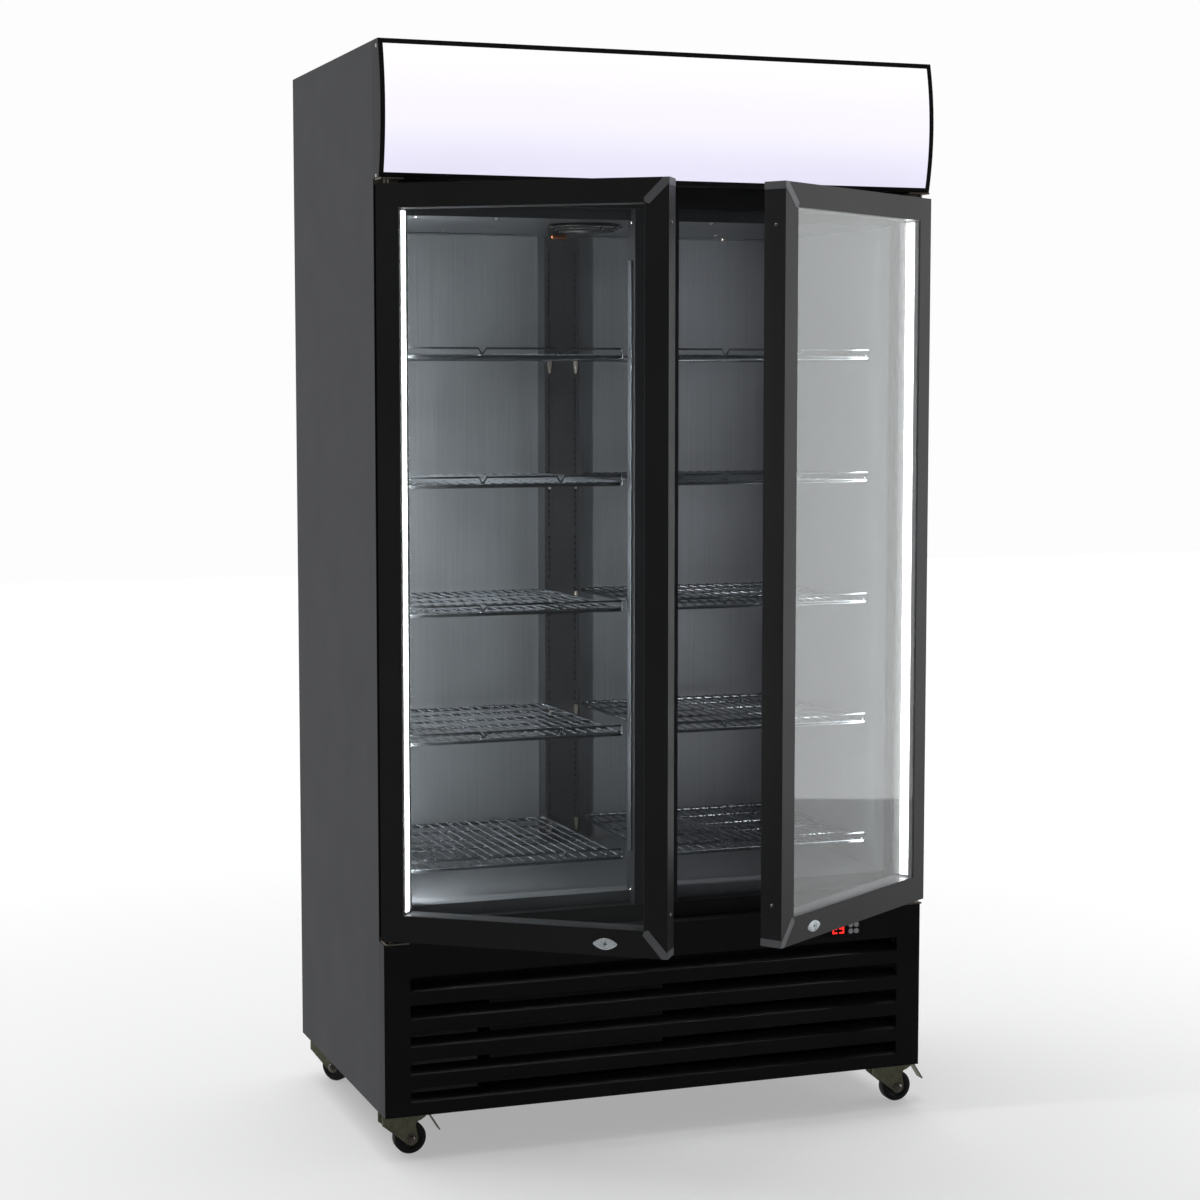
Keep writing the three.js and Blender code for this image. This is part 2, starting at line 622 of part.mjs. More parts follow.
// A hollow post of folded sheet, notched at its foot over the sill and at its head under the cover.
function buildMullion() {
  const span = [CASE_SETBACK, CASE_SETBACK + MULLION_DEPTH];
  const half = MULLION_WIDTH / 2;
  const heights = [OPENING_FOOT + SEAT_GAP, OPENING_HEAD - SEAT_GAP];
  const post = block([-half, half], span, heights);
  const inside = block([SHEET - half, half - SHEET], [span[0] + SHEET, span[1] - SHEET],
    [heights[0] - OVERCUT, heights[1] + OVERCUT]);
  const behindSill = [LINER_FRONT - SEAT_GAP, DEPTH];
  const sillNotch = block([-HALF, HALF], behindSill, [0, LINER_FLOOR + SEAT_GAP]);
  const behindLip = [LINER_FRONT + SHEET, DEPTH];
  const coverNotch = block([-HALF, HALF], behindLip, [CEILING - SEAT_GAP, HEIGHT]);
  place('centre_mullion', cut(post, [inside, sillNotch, coverNotch]), 'linerMetal');
}

// Slotted strips on the rear and side walls, which the shelf clips hang in.
function buildPilasters() {
  const heights = [LINER_FLOOR + SEAT_GAP, CEILING - SEAT_GAP];
  const rear = LINER_BACK - SEAT_GAP;
  const centreFront = LINER_BACK - CENTRE_PILASTER_DEPTH;
  const halfCentre = CENTRE_PILASTER_WIDTH / 2;
  const throughEnds = [heights[0] - OVERCUT, heights[1] + OVERCUT];
  const centreInside = block([SHEET - halfCentre, halfCentre - SHEET],
    [centreFront + SHEET, rear + OVERCUT], throughEnds);
  const centreSlots = shelfHeights().flatMap((z) => [-1, 1].map((side) => {
    const x = side * (halfCentre - CLIP_SLOT_EDGE);
    const through = [0, centreFront + SHEET + OVERCUT];
    return block([x - CLIP_SLOT_WIDTH / 2, x + CLIP_SLOT_WIDTH / 2], through, clipSlotHeights(z));
  }));
  const channel = block([-halfCentre, halfCentre], [centreFront, rear], heights);
  place('pilaster_rear_centre', cut(channel, [centreInside, ...centreSlots]), 'linerMetal');

  for (const [name, side] of [['pilaster_side_left', -1], ['pilaster_side_right', 1]]) {
    const wall = side * (OPENING_HALF - SEAT_GAP);
    const face = side * (OPENING_HALF - SIDE_PILASTER_DEPTH);
    const middle = LINER_BACK - SIDE_PILASTER_FROM_REAR;
    const span = [middle - SIDE_PILASTER_WIDTH / 2, middle + SIDE_PILASTER_WIDTH / 2];
    const inside = block([side * HALF, face + side * SHEET], [span[0] + SHEET, span[1] - SHEET],
      throughEnds);
    const slotSpan = [middle - CLIP_SLOT_WIDTH / 2, middle + CLIP_SLOT_WIDTH / 2];
    const slots = shelfHeights().map((z) => block([side * HALF, 0], slotSpan, clipSlotHeights(z)));
    place(name, cut(block([wall, face], span, heights), [inside, ...slots]), 'linerMetal');
  }
}

// The clip slots sit just under the rail of a shelf whose middle is at height z.
function clipSlotHeights(z) {
  return [z - SHELF_RAIL - CLIP_SLOT_HEIGHT, z - SHELF_RAIL];
}

// ---- Shelves ----

// Heights of the middle of each shelf's front rail, from the top shelf down.
function shelfHeights() {
  const lowest = LINER_FLOOR + LOWEST_SHELF;
  const pitch = (CEILING - TOP_BAY - lowest) / (SHELF_LEVELS - 1);
  return count(SHELF_LEVELS).map((i) => lowest + pitch * (SHELF_LEVELS - 1 - i));
}

// One shelf: a slatted deck between bars, a front rail, and a raised wire with two V notches.
// side is -1 for the left half of the cabinet and +1 for the right half.
function shelfBody(side, z) {
  const outer = OPENING_HALF - SIDE_PILASTER_DEPTH - SHELF_END_GAP;
  const inner = CENTRE_PILASTER_WIDTH / 2 - SHELF_END_GAP;
  const [from, to] = side < 0 ? [-outer, -inner] : [inner, outer];
  const front = SHELF_FRONT;
  const rear = LINER_BACK - CENTRE_PILASTER_DEPTH - SHELF_REAR_GAP;
  const half = SHELF_RAIL / 2;
  const deck = block([from, to], [front, rear], [z - SHELF_DECK / 2, z + SHELF_DECK / 2]);
  const pitch = (to - from - SHELF_BAR) / SHELF_SLOTS;
  const slots = count(SHELF_SLOTS).map((i) => {
    const left = from + SHELF_BAR + pitch * i;
    const ys = [front + SHELF_RAIL, rear - SHELF_BAR];
    return block([left, left + pitch - SHELF_BAR], ys, [z - half, z + half]);
  });
  const rail = block([from, to], [front, front + SHELF_RAIL], [z - half, z + half]);
  const firstNotch = side * (inner + NOTCH_FROM_INNER_END);
  const notches = [firstNotch, firstNotch + side * NOTCH_SPACING].sort((a, b) => a - b);
  const wire = alongY(notchedWire(from, to, z, notches), front, front + SHELF_WIRE);
  return joined([cut(deck, slots), rail, wire]);
}

// The raised wire's outline: it leaves the rail at both ends and dips to it at each notch.
function notchedWire(from, to, z, notches) {
  const top = z + SHELF_WIRE_RISE + SHELF_WIRE / 2;
  const under = top - SHELF_WIRE;
  const slant = NOTCH_WIDTH / 2;
  const upper = notches.flatMap((x) => [[x - slant, top], [x, z + SHELF_WIRE / 2], [x + slant, top]]);
  const lower = notches.flatMap((x) => [
    [x - slant - SHELF_WIRE, under], [x - SHELF_WIRE, z],
    [x + SHELF_WIRE, z], [x + slant + SHELF_WIRE, under],
  ]).reverse();
  const outline = [[from, z], [from, top], ...upper, [to, top], [to, z], [to - SHELF_WIRE, z],
    [to - SHELF_WIRE, under], ...lower, [from + SHELF_WIRE, under], [from + SHELF_WIRE, z]];
  return shapeOf(outline);
}

function buildShelves() {
  shelfHeights().forEach((z, i) => {
    place(`shelf_left_${i + 1}`, shelfBody(-1, z), 'chrome');
    place(`shelf_right_${i + 1}`, shelfBody(1, z), 'chrome');
  });
}

// ---- Doors ----

// A door is built closed, about its hinge axis at the group's origin, then the group is turned.
// side is -1 for the left door, whose free edge points to +X, and +1 for the right one.
function buildDoor(label, side, openAngle) {
  const door = new THREE.Group();
  door.position.set(side * PIVOT_X, PIVOT_Y, 0);
  door.rotation.z = side * THREE.MathUtils.degToRad(openAngle);
  cabinet.add(door);

  const x = (fromHingeEdge) => -side * (fromHingeEdge - PIVOT_INSET);
  const front = -PIVOT_SETBACK;
  const back = front + DOOR_DEPTH;
  const edges = [x(0), x(DOOR_WIDTH)];
  const heights = [DOOR_FOOT, DOOR_HEAD];
  const openingXs = [x(DOOR_STILE), x(DOOR_WIDTH - DOOR_STILE)];
  const openingZs = [DOOR_FOOT + DOOR_FOOT_RAIL, DOOR_HEAD - DOOR_STILE];

  const glassReach = (seat) => [
    [x(DOOR_STILE - seat), x(DOOR_WIDTH - DOOR_STILE + seat)],
    [openingZs[0] - seat, openingZs[1] + seat],
  ];
  const [glassXs, glassZs] = glassReach(GLASS_SEAT);
  const glassYs = [front + GLASS_SETBACK, front + GLASS_SETBACK + GLASS_THICKNESS];
  const glass = block(glassXs, glassYs, glassZs);
  const [grooveXs, grooveZs] = glassReach(GLASS_SEAT + GLASS_CLEARANCE);
  const grooveYs = [glassYs[0] - GLASS_CLEARANCE, glassYs[1] + GLASS_CLEARANCE];
  const groove = block(grooveXs, grooveYs, grooveZs);
  const opening = block(openingXs, [front - OVERCUT, back + OVERCUT], openingZs);

  const pinHole = PIN_RADIUS + PIN_CLEARANCE;
  const pinDepth = PIN_ENGAGEMENT + PIN_END_GAP;
  const pinHoles = [
    bar('z', pinHole, [0, 0], DOOR_FOOT - OVERCUT, DOOR_FOOT + pinDepth),
    bar('z', pinHole, [0, 0], DOOR_HEAD - pinDepth, DOOR_HEAD + OVERCUT),
  ];
  const lockPlace = [x(DOOR_WIDTH - LOCK_FROM_FREE_EDGE), DOOR_FOOT + LOCK_HEIGHT];
  const lockBack = front + LOCK_LENGTH + LOCK_CLEARANCE;
  const lockHole = bar('y', LOCK_RADIUS + LOCK_CLEARANCE, lockPlace, front - OVERCUT, lockBack);
  const frame = cut(block(edges, [front, back], heights), [opening, groove, ...pinHoles, lockHole]);
  place(`door_${label}_frame`, frame, 'doorPaint', door);
  place(`door_${label}_glass`, glass, 'glass', door);

  // The lamp stands on the inner face of the hinge stile, behind the glass.
  const lampXs = [x(DOOR_STILE + SEAT_GAP), x(DOOR_STILE + SEAT_GAP + LAMP_THICKNESS)];
  const lampYs = [glassYs[1] + LAMP_GAP, glassYs[1] + LAMP_GAP + LAMP_DEPTH];
  const lampZs = [openingZs[0] + SEAT_GAP, openingZs[1] - SEAT_GAP];
  place(`led_lamp_${label}`, block(lampXs, lampYs, lampZs), 'lamp', door);

  const gasketBack = [back + SEAT_GAP, back + GASKET_DEPTH];
  const ring = (inset) => [
    [x(inset), x(DOOR_WIDTH - inset)],
    [DOOR_FOOT + inset, DOOR_HEAD - inset],
  ];
  const [outerXs, outerZs] = ring(GASKET_INSET);
  const [innerXs, innerZs] = ring(GASKET_INSET + GASKET_WIDTH);
  const inside = block(innerXs, [back, gasketBack[1] + OVERCUT], innerZs);
  const gasket = cut(block(outerXs, gasketBack, outerZs), [inside]);
  place(`door_${label}_gasket`, gasket, 'gasket', door);

  const lockSpan = [front - LOCK_PROUD, front + LOCK_LENGTH];
  const cylinder = bar('y', LOCK_RADIUS, lockPlace, ...lockSpan);
  const keyway = block([lockPlace[0] - KEYWAY_WIDTH / 2, lockPlace[0] + KEYWAY_WIDTH / 2],
    [lockSpan[0] - OVERCUT, lockSpan[0] + KEYWAY_DEPTH],
    [lockPlace[1] - KEYWAY_LENGTH / 2, lockPlace[1] + KEYWAY_LENGTH / 2]);
  place(`lock_cylinder_${label}`, cut(cylinder, [keyway]), 'chrome', door);
}

// A hinge plate on the front frame with a pin that stands into the door.
function buildHinges() {
  for (const [label, side] of [['left', -1], ['right', 1]]) {
    const xs = [side * (PIVOT_X + PIVOT_INSET), side * (PIVOT_X + PIVOT_INSET - HINGE_WIDTH)];
    const ys = [PIVOT_Y - HINGE_NOSE, CASE_SETBACK - SEAT_GAP];
    const legYs = [ys[1] - HINGE_PLATE, ys[1]];
    const pinPlace = [side * PIVOT_X, PIVOT_Y];

    const top = [HEADER_FOOT - SEAT_GAP - HINGE_PLATE, HEADER_FOOT - SEAT_GAP];
    const topLeg = block(xs, legYs, [DOOR_HEAD + HINGE_LEG_GAP, top[1]]);
    const topPin = bar('z', PIN_RADIUS, pinPlace, DOOR_HEAD - PIN_ENGAGEMENT, top[1]);
    place(`hinge_top_${label}`, joined([block(xs, ys, top), topLeg, topPin]), 'zinc');

    const foot = [MACHINE_HEIGHT + SEAT_GAP, MACHINE_HEIGHT + SEAT_GAP + HINGE_PLATE];
    const footLeg = block(xs, legYs, [foot[0], DOOR_FOOT - HINGE_LEG_GAP]);
    const footPin = bar('z', PIN_RADIUS, pinPlace, foot[0], DOOR_FOOT + PIN_ENGAGEMENT);
    place(`hinge_bottom_${label}`, joined([block(xs, ys, foot), footLeg, footPin]), 'zinc');
  }
}

// ---- Castors ----

function castorPlaces() {
  const x = HALF - CASTOR_INSET_X;
  const front = CASTOR_INSET_Y;
  const rear = DEPTH - CASTOR_INSET_Y;
  return [
    { name: 'front_left', x: -x, y: front, trail: 0, braked: true },
    { name: 'front_right', x, y: front, trail: 0, braked: true },
    { name: 'rear_left', x: -x, y: rear, trail: REAR_TRAIL_ANGLE, braked: false },
    { name: 'rear_right', x, y: rear, trail: REAR_TRAIL_ANGLE, braked: false },
  ];
}

const FORK_TOP = -PLATE_THICKNESS - RACE_HEIGHT - SEAT_GAP;
const FORK_GAP_HALF = HUB_WIDTH / 2 + FORK_SIDE_CLEARANCE;

// The side of a fork: it slopes from its tail round under the axle, and a round cut-out lies between
// the axle boss and the nose.
function forkSide() {
  const shape = new THREE.Shape();
  shape.moveTo(-FORK_TAIL, FORK_TOP);
  shape.lineTo(-FORK_TAIL, FORK_TOP - FORK_SHOULDER);
  shape.absarc(CASTOR_TRAIL, -AXLE_DROP, BOSS_RADIUS, Math.PI * 1.2, Math.PI * 2.1, false);
  const notchX = CASTOR_TRAIL + BOSS_RADIUS + FORK_NOTCH_FROM_BOSS;
  const notchZ = FORK_NOTCH_ABOVE_AXLE - AXLE_DROP;
  shape.absarc(notchX, notchZ, FORK_NOTCH_RADIUS, Math.PI * 1.1, Math.PI / 2, true);
  shape.lineTo(FORK_NOSE, FORK_TOP - FORK_NOSE_HEIGHT);
  shape.lineTo(FORK_NOSE, FORK_TOP);
  return shape;
}

function forkBody() {
  const inner = FORK_GAP_HALF;
  const outer = inner + FORK_SHEET;
  const sides = [[-outer, -inner], [inner, outer]].map(([from, to]) => alongY(forkSide(), from, to));
  const top = block([-FORK_TAIL, FORK_NOSE], [-outer, outer], [FORK_TOP - FORK_SHEET, FORK_TOP]);
  const axlePlace = [CASTOR_TRAIL, -AXLE_DROP];
  const reach = outer + BOLT_HEAD_THICKNESS;
  const axle = bar('y', AXLE_RADIUS, axlePlace, -reach, reach);
  const heads = [[-reach, -inner], [inner, reach]].map(([from, to]) => (
    bar('y', BOLT_HEAD_RADIUS, axlePlace, from, to)
  ));
  return joined([...sides, top, axle, ...heads]);
}

function wheelBody() {
  const half = WHEEL_WIDTH / 2;
  const hub = HUB_WIDTH / 2;
  const bore = AXLE_RADIUS + AXLE_CLEARANCE;
  const tread = WHEEL_RADIUS - WHEEL_SHOULDER;
  const profile = [
    [bore, -hub], [HUB_RADIUS, -hub], [HUB_RADIUS, -half], [tread, -half],
    [WHEEL_RADIUS, WHEEL_SHOULDER - half], [WHEEL_RADIUS, half - WHEEL_SHOULDER],
    [tread, half], [HUB_RADIUS, half], [HUB_RADIUS, hub], [bore, hub], [bore, -hub],
  ].map(([radius, along]) => new THREE.Vector2(radius, along));
  return solid(new THREE.LatheGeometry(profile, WHEEL_SIDES));
}

// A pressed brake pedal: a barrel on the fork's nose and a plate that hangs down from it.
function pedalBody() {
  const half = PEDAL_WIDTH / 2;
  const barrel = bar('y', PEDAL_BARREL, [0, 0], -half, half);
  const plate = new THREE.BoxGeometry(PEDAL_LENGTH, PEDAL_WIDTH, PEDAL_SHEET);
  plate.translate(PEDAL_LENGTH / 2, 0, PEDAL_BARREL - PEDAL_SHEET / 2);
  plate.rotateY(-THREE.MathUtils.degToRad(PEDAL_ANGLE));
  return joined([barrel, solid(plate)]);
}

function buildCastors() {
  for (const { name, x, y, trail, braked } of castorPlaces()) {
    const swivel = new THREE.Group();
    swivel.position.set(x, y, 0);
    swivel.rotation.z = THREE.MathUtils.degToRad(trail);
    cabinet.add(swivel);
    place(`castor_fork_${name}`, forkBody(), 'zinc', swivel);
    const seat = new THREE.Group();
    seat.position.set(CASTOR_TRAIL, 0, -AXLE_DROP);
    swivel.add(seat);
    place(`castor_wheel_${name}`, wheelBody(), 'wheel', seat);
    if (braked) {
      const pedal = new THREE.Group();
      pedal.position.set(FORK_NOSE + PEDAL_BARREL + PEDAL_GAP, 0, -PEDAL_DROP);
      swivel.add(pedal);
      place(`brake_pedal_${name}`, pedalBody(), 'zinc', pedal);
    }
  }
}

// ---- Assembly ----

buildCase();
buildGrille();
buildController();
buildCondensingSet();
buildInlet();
buildHeader();
buildInsulatedBody();
buildEvaporator();
buildMullion();
buildPilasters();
buildShelves();
buildDoor('left', -1, DOOR_OPEN_LEFT);
buildDoor('right', 1, DOOR_OPEN_RIGHT);
buildHinges();
buildCastors();

cabinet.updateMatrixWorld(true);
const bounds = new THREE.Box3().setFromObject(cabinet, true);
const middle = bounds.getCenter(new THREE.Vector3());
cabinet.position.set(-middle.x, -middle.y, -bounds.min.z);

export default cabinet;
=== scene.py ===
"""Looks of a glass door merchandiser: an upright refrigerated display cabinet with two hinged glass
doors, a lit header, wire shelves, a louvred machine compartment and four swivel castors.

Everything is in metres in the frame's own coordinates. Each sub-assembly is a class that reads its
places from the frame, builds its meshes with numpy and gives every piece a procedural finish.
"""

import json
import logging
import math
from dataclasses import dataclass, field
from enum import Enum
from typing import Any, Iterable, Sequence

import bmesh
import bpy
import numpy as np
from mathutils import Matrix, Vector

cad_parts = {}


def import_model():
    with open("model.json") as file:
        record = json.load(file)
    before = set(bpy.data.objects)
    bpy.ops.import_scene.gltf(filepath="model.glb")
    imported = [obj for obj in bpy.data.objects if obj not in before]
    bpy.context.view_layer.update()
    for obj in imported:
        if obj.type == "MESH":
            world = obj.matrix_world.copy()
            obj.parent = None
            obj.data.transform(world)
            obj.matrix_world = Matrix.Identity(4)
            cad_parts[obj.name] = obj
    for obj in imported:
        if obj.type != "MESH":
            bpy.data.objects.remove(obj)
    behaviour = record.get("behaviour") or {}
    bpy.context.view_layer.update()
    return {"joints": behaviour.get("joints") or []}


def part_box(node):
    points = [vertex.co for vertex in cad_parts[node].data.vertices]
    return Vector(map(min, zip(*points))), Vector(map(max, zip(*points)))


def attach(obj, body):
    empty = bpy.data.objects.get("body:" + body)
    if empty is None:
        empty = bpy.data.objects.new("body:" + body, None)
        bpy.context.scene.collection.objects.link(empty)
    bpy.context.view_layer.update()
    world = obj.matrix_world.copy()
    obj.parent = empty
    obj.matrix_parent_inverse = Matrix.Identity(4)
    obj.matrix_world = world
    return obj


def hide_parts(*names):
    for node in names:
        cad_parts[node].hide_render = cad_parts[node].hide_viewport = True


LOG = logging.getLogger("merchandiser")
MM = 0.001
SHARP_ANGLE = math.radians(32)
# Gap that keeps two faces out of one plane.
HAIR = 0.02 * MM
# Share of a finish's mottle that comes from its fine grain. Its slow patches give the rest.
FINE_SHARE = 0.55


# ---- Mesh building ----


@dataclass
class Shape:
    """Points and faces of one or more closed shells.

    Attributes:
        points: Corner positions, one row each.
        faces: Corner numbers of each face, in tuples of three or more.
    """

    points: np.ndarray
    faces: list[tuple[int, ...]]

    def moved(self, turn: np.ndarray, shift: Sequence[float]) -> "Shape":
        """A copy turned by a 3 x 3 matrix and then shifted."""
        return Shape(self.points @ np.asarray(turn, float).T + np.asarray(shift, float), self.faces)


def merged(shapes: Iterable[Shape]) -> Shape:
    """Puts several shapes into one.

    Args:
        shapes: The shapes to put together.

    Returns:
        One shape that holds all their shells.
    """
    points, faces, start = [], [], 0
    for shape in shapes:
        points.append(shape.points)
        faces += [tuple(int(i) + start for i in face) for face in shape.faces]
        start += len(shape.points)
    return Shape(np.concatenate(points), faces)


def quads(rows: int, columns: int, close_rows: bool, close_columns: bool) -> list[tuple[int, ...]]:
    """Faces of a grid of points stored row by row.

    Args:
        rows: Number of rows.
        columns: Number of columns.
        close_rows: Whether the last row joins the first.
        close_columns: Whether the last column joins the first.

    Returns:
        Four corner numbers for each cell.
    """
    i = np.arange(rows if close_rows else rows - 1)[:, None]
    j = np.arange(columns if close_columns else columns - 1)[None, :]
    below, beside = (i + 1) % rows, (j + 1) % columns
    cells = np.stack(
        [i * columns + j, i * columns + beside, below * columns + beside, below * columns + j], -1
    )
    return [tuple(c) for c in cells.reshape(-1, 4).tolist()]


def lofted(rings: np.ndarray, closed: bool = False) -> Shape:
    """A skin over a stack of rings, with a flat cap on each end ring unless the stack is closed.

    Args:
        rings: Ring points, as stack by points by three.
        closed: Whether the last ring joins the first.

    Returns:
        A closed shell.
    """
    count, around = rings.shape[:2]
    faces = quads(count, around, closed, True)
    if not closed:
        last = (count - 1) * around
        faces += [tuple(range(around))[::-1], tuple(range(last, last + around))]
    return Shape(rings.reshape(-1, 3), faces)


def boxes(lows: Any, highs: Any) -> Shape:
    """Blocks between pairs of opposite corners.

    Args:
        lows: One low corner, or one row for each block.
        highs: The high corners to match.

    Returns:
        All the blocks in one shape.
    """
    low = np.atleast_2d(np.asarray(lows, float))
    high = np.atleast_2d(np.asarray(highs, float))
    pick = np.array([[0, 0, 0], [1, 0, 0], [1, 1, 0], [0, 1, 0], [0, 0, 1], [1, 0, 1], [1, 1, 1], [0, 1, 1]])
    points = np.where(pick[None] == 1, high[:, None], low[:, None]).reshape(-1, 3)
    sides = np.array([[3, 2, 1, 0], [4, 5, 6, 7], [0, 1, 5, 4], [1, 2, 6, 5], [2, 3, 7, 6], [3, 0, 4, 7]])
    faces = (sides[None] + 8 * np.arange(len(low))[:, None, None]).reshape(-1, 4)
    return Shape(points, [tuple(f) for f in faces.tolist()])


def circle(sides: int, radius: float = 1.0, start: float = 0.0) -> np.ndarray:
    """Points round a circle: the cosine and sine of equal steps of angle, times the radius."""
    angle = start + np.arange(sides) * 2 * math.pi / sides
    return radius * np.stack([np.cos(angle), np.sin(angle)], -1)


def rods(starts: Any, ends: Any, radius: float, sides: int = 8) -> Shape:
    """Straight round bars. Each end carries a ring square to the bar's direction.

    Args:
        starts: One start point, or one row for each bar.
        ends: The end points to match.
        radius: Radius of every bar.
        sides: Number of sides of a bar.

    Returns:
        All the bars in one shape.
    """
    a = np.atleast_2d(np.asarray(starts, float))
    b = np.atleast_2d(np.asarray(ends, float))
    along = (b - a) / np.linalg.norm(b - a, axis=1, keepdims=True)
    helper = np.where(np.abs(along[:, 2:3]) < 0.9, [[0.0, 0.0, 1.0]], [[1.0, 0.0, 0.0]])
    u = np.cross(along, helper)
    u /= np.linalg.norm(u, axis=1, keepdims=True)
    v = np.cross(along, u)
    ring = circle(sides, radius)
    offset = ring[None, :, 0, None] * u[:, None] + ring[None, :, 1, None] * v[:, None]
    rings = np.stack([a[:, None] + offset, b[:, None] + offset], 1)
    return merged(lofted(bar) for bar in rings)


def wire(path: Any, radius: float, normal: Sequence[float], sides: int = 8, closed: bool = False) -> Shape:
    """A round wire along a flat path. At each point the ring stands across the mean direction.

    Args:
        path: Points of the centre line, in order.
        radius: Radius of the wire.
        normal: Direction square to the plane of the path.
        sides: Number of sides of the wire.
        closed: Whether the path joins up.

    Returns:
        A closed tube.
    """
    line = np.asarray(path, float)
    if closed:
        along = np.roll(line, -1, 0) - np.roll(line, 1, 0)
    else:
        along = np.gradient(line, axis=0)
    along /= np.linalg.norm(along, axis=1, keepdims=True)
    up = np.asarray(normal, float)
    across = np.cross(along, up)
    ring = circle(sides, radius)
    rings = line[:, None] + ring[None, :, 0, None] * across[:, None] + ring[None, :, 1, None] * up
    return lofted(rings, closed)


def lathe(profile: Any, centre: Sequence[float], axis: Sequence[float], segments: int = 40) -> Shape:
    """A profile turned about an axis. It starts and ends on the axis, or closes on itself.

    Args:
        profile: Rows of distance from the axis and distance along it.
        centre: Where the axis has distance 0.
        axis: Unit direction of the axis.
        segments: Steps round the axis.

    Returns:
        A closed shell, once its doubled points are merged.
    """
    outline = np.asarray(profile, float)
    w = np.asarray(axis, float)
    helper = np.array([0.0, 0.0, 1.0]) if abs(w[2]) < 0.9 else np.array([1.0, 0.0, 0.0])
    u = np.cross(w, helper)
    u /= np.linalg.norm(u)
    v = np.cross(w, u)
    ring = circle(segments)
    spoke = ring[:, :1] * u + ring[:, 1:] * v
    points = np.asarray(centre, float) + outline[:, None, :1] * spoke[None] + outline[:, None, 1:] * w
    return Shape(points.reshape(-1, 3), quads(len(outline), segments, False, True))


def prism(outline: Any, low: float, high: float, plane: str) -> Shape:
    """A flat outline drawn out square to its plane.

    Args:
        outline: Corner rows in the plane, in order.
        low: Where it starts on the third axis.
        high: Where it ends.
        plane: The two axes of the outline, such as xz.

    Returns:
        A closed shell.
    """
    corners = np.asarray(outline, float)
    order = ["xyz".index(axis) for axis in plane]
    third = 3 - sum(order)
    rings = np.zeros((2, len(corners), 3))
    rings[:, :, order[0]] = corners[:, 0]
    rings[:, :, order[1]] = corners[:, 1]
    rings[0, :, third] = low
    rings[1, :, third] = high
    return lofted(rings)


def mitred_ring(low: Sequence[float], high: Sequence[float], section: Any) -> Shape:
    """A section carried round a rectangle in the X-Z plane, mitred at its four corners.

    Args:
        low: Lowest X and Z of the rectangle.
        high: Highest X and Z of the rectangle.
        section: Rows of inset from the rectangle's sides, then Y.

    Returns:
        A closed ring.
    """
    inset, depth = np.asarray(section, float).T
    corners = [
        (low[0] + inset, low[1] + inset),
        (high[0] - inset, low[1] + inset),
        (high[0] - inset, high[1] - inset),
        (low[0] + inset, high[1] - inset),
    ]
    rings = np.stack([np.stack([x, depth, z], -1) for x, z in corners])
    return lofted(rings, closed=True)


def arc(centre: Sequence[float], radius: float, start: float, end: float, steps: int) -> np.ndarray:
    """Points on an arc, from one angle to another in degrees."""
    angle = np.radians(np.linspace(start, end, steps + 1))
    return np.asarray(centre, float) + radius * np.stack([np.cos(angle), np.sin(angle)], -1)


def rounded_rectangle(
    low: Sequence[float], high: Sequence[float], radius: float, steps: int = 4
) -> np.ndarray:
    """Outline of a rectangle whose four corners are quarter circles."""
    x0, z0, x1, z1 = low[0] + radius, low[1] + radius, high[0] - radius, high[1] - radius
    return np.concatenate([
        arc((x0, z0), radius, 180, 270, steps),
        arc((x1, z0), radius, 270, 360, steps),
        arc((x1, z1), radius, 0, 90, steps),
        arc((x0, z1), radius, 90, 180, steps),
    ])


def perforated(folds: np.ndarray, heights: np.ndarray, strips: Sequence[int], holes: np.ndarray) -> Shape:
    """A folded sheet struck with holes: a grid over its fold lines and heights, less its hole cells.

    Args:
        folds: X and Y of each vertical grid line, along the fold.
        heights: Z of each horizontal grid line.
        strips: Numbers of the upright strips of cells that the holes are in.
        holes: Whether each row of cells is a hole in those strips.

    Returns:
        An open sheet, to be given its thickness by a Solidify modifier.
    """
    rows, columns = len(heights), len(folds)
    points = np.zeros((rows, columns, 3))
    points[:, :, :2] = folds[None]
    points[:, :, 2] = heights[:, None]
    struck = np.isin(np.arange(columns - 1), strips)
    keep = ~(holes[:, None] & struck[None]).ravel()
    cells = quads(rows, columns, False, False)
    return Shape(points.reshape(-1, 3), [cell for cell, kept in zip(cells, keep) if kept])


# ---- Node trees ----


def linear(code: str) -> tuple[float, float, float, float]:
    """An sRGB hex colour as linear light.

    A dark channel, up to 0.04045, is divided by 12.92. A brighter one has 0.055 added, is divided by
    1.055 and is raised to the power 2.4.

    Args:
        code: A hash and six hex digits.

    Returns:
        Red, green and blue, and an alpha of 1.
    """
    values = [int(code[i : i + 2], 16) / 255 for i in (1, 3, 5)]
    r, g, b = (v / 12.92 if v <= 0.04045 else ((v + 0.055) / 1.055) ** 2.4 for v in values)
    return r, g, b, 1.0


def add_node(
    tree: bpy.types.NodeTree, kind: str, settings: dict[str, Any], links: dict[Any, Any]
) -> bpy.types.Node:
    """Adds one node with its settings and inputs.

    Args:
        tree: The tree to add to.
        kind: The node's type name.
        settings: Attributes to set on it.
        links: Input name or number, to a value or another node's output.

    Returns:
        The node.
    """
    node = tree.nodes.new(kind)
    for name, value in settings.items():
        setattr(node, name, value)
    for key, value in links.items():
        socket = node.inputs[key]
        if isinstance(value, bpy.types.NodeSocket):
            tree.links.new(value, socket)
        else:
            socket.default_value = value
    return node


def set_ramp(node: bpy.types.Node, stops: Sequence[tuple[float, str]]) -> None:
    """Gives a colour ramp its stops.

    Args:
        node: The ramp's node.
        stops: Places from 0 to 1, each with an sRGB hex colour.
    """
    elements = node.color_ramp.elements
    while len(elements) < len(stops):
        elements.new(1.0)
    for element, (place, code) in zip(elements, stops):
        element.position = place
        element.color = linear(code)


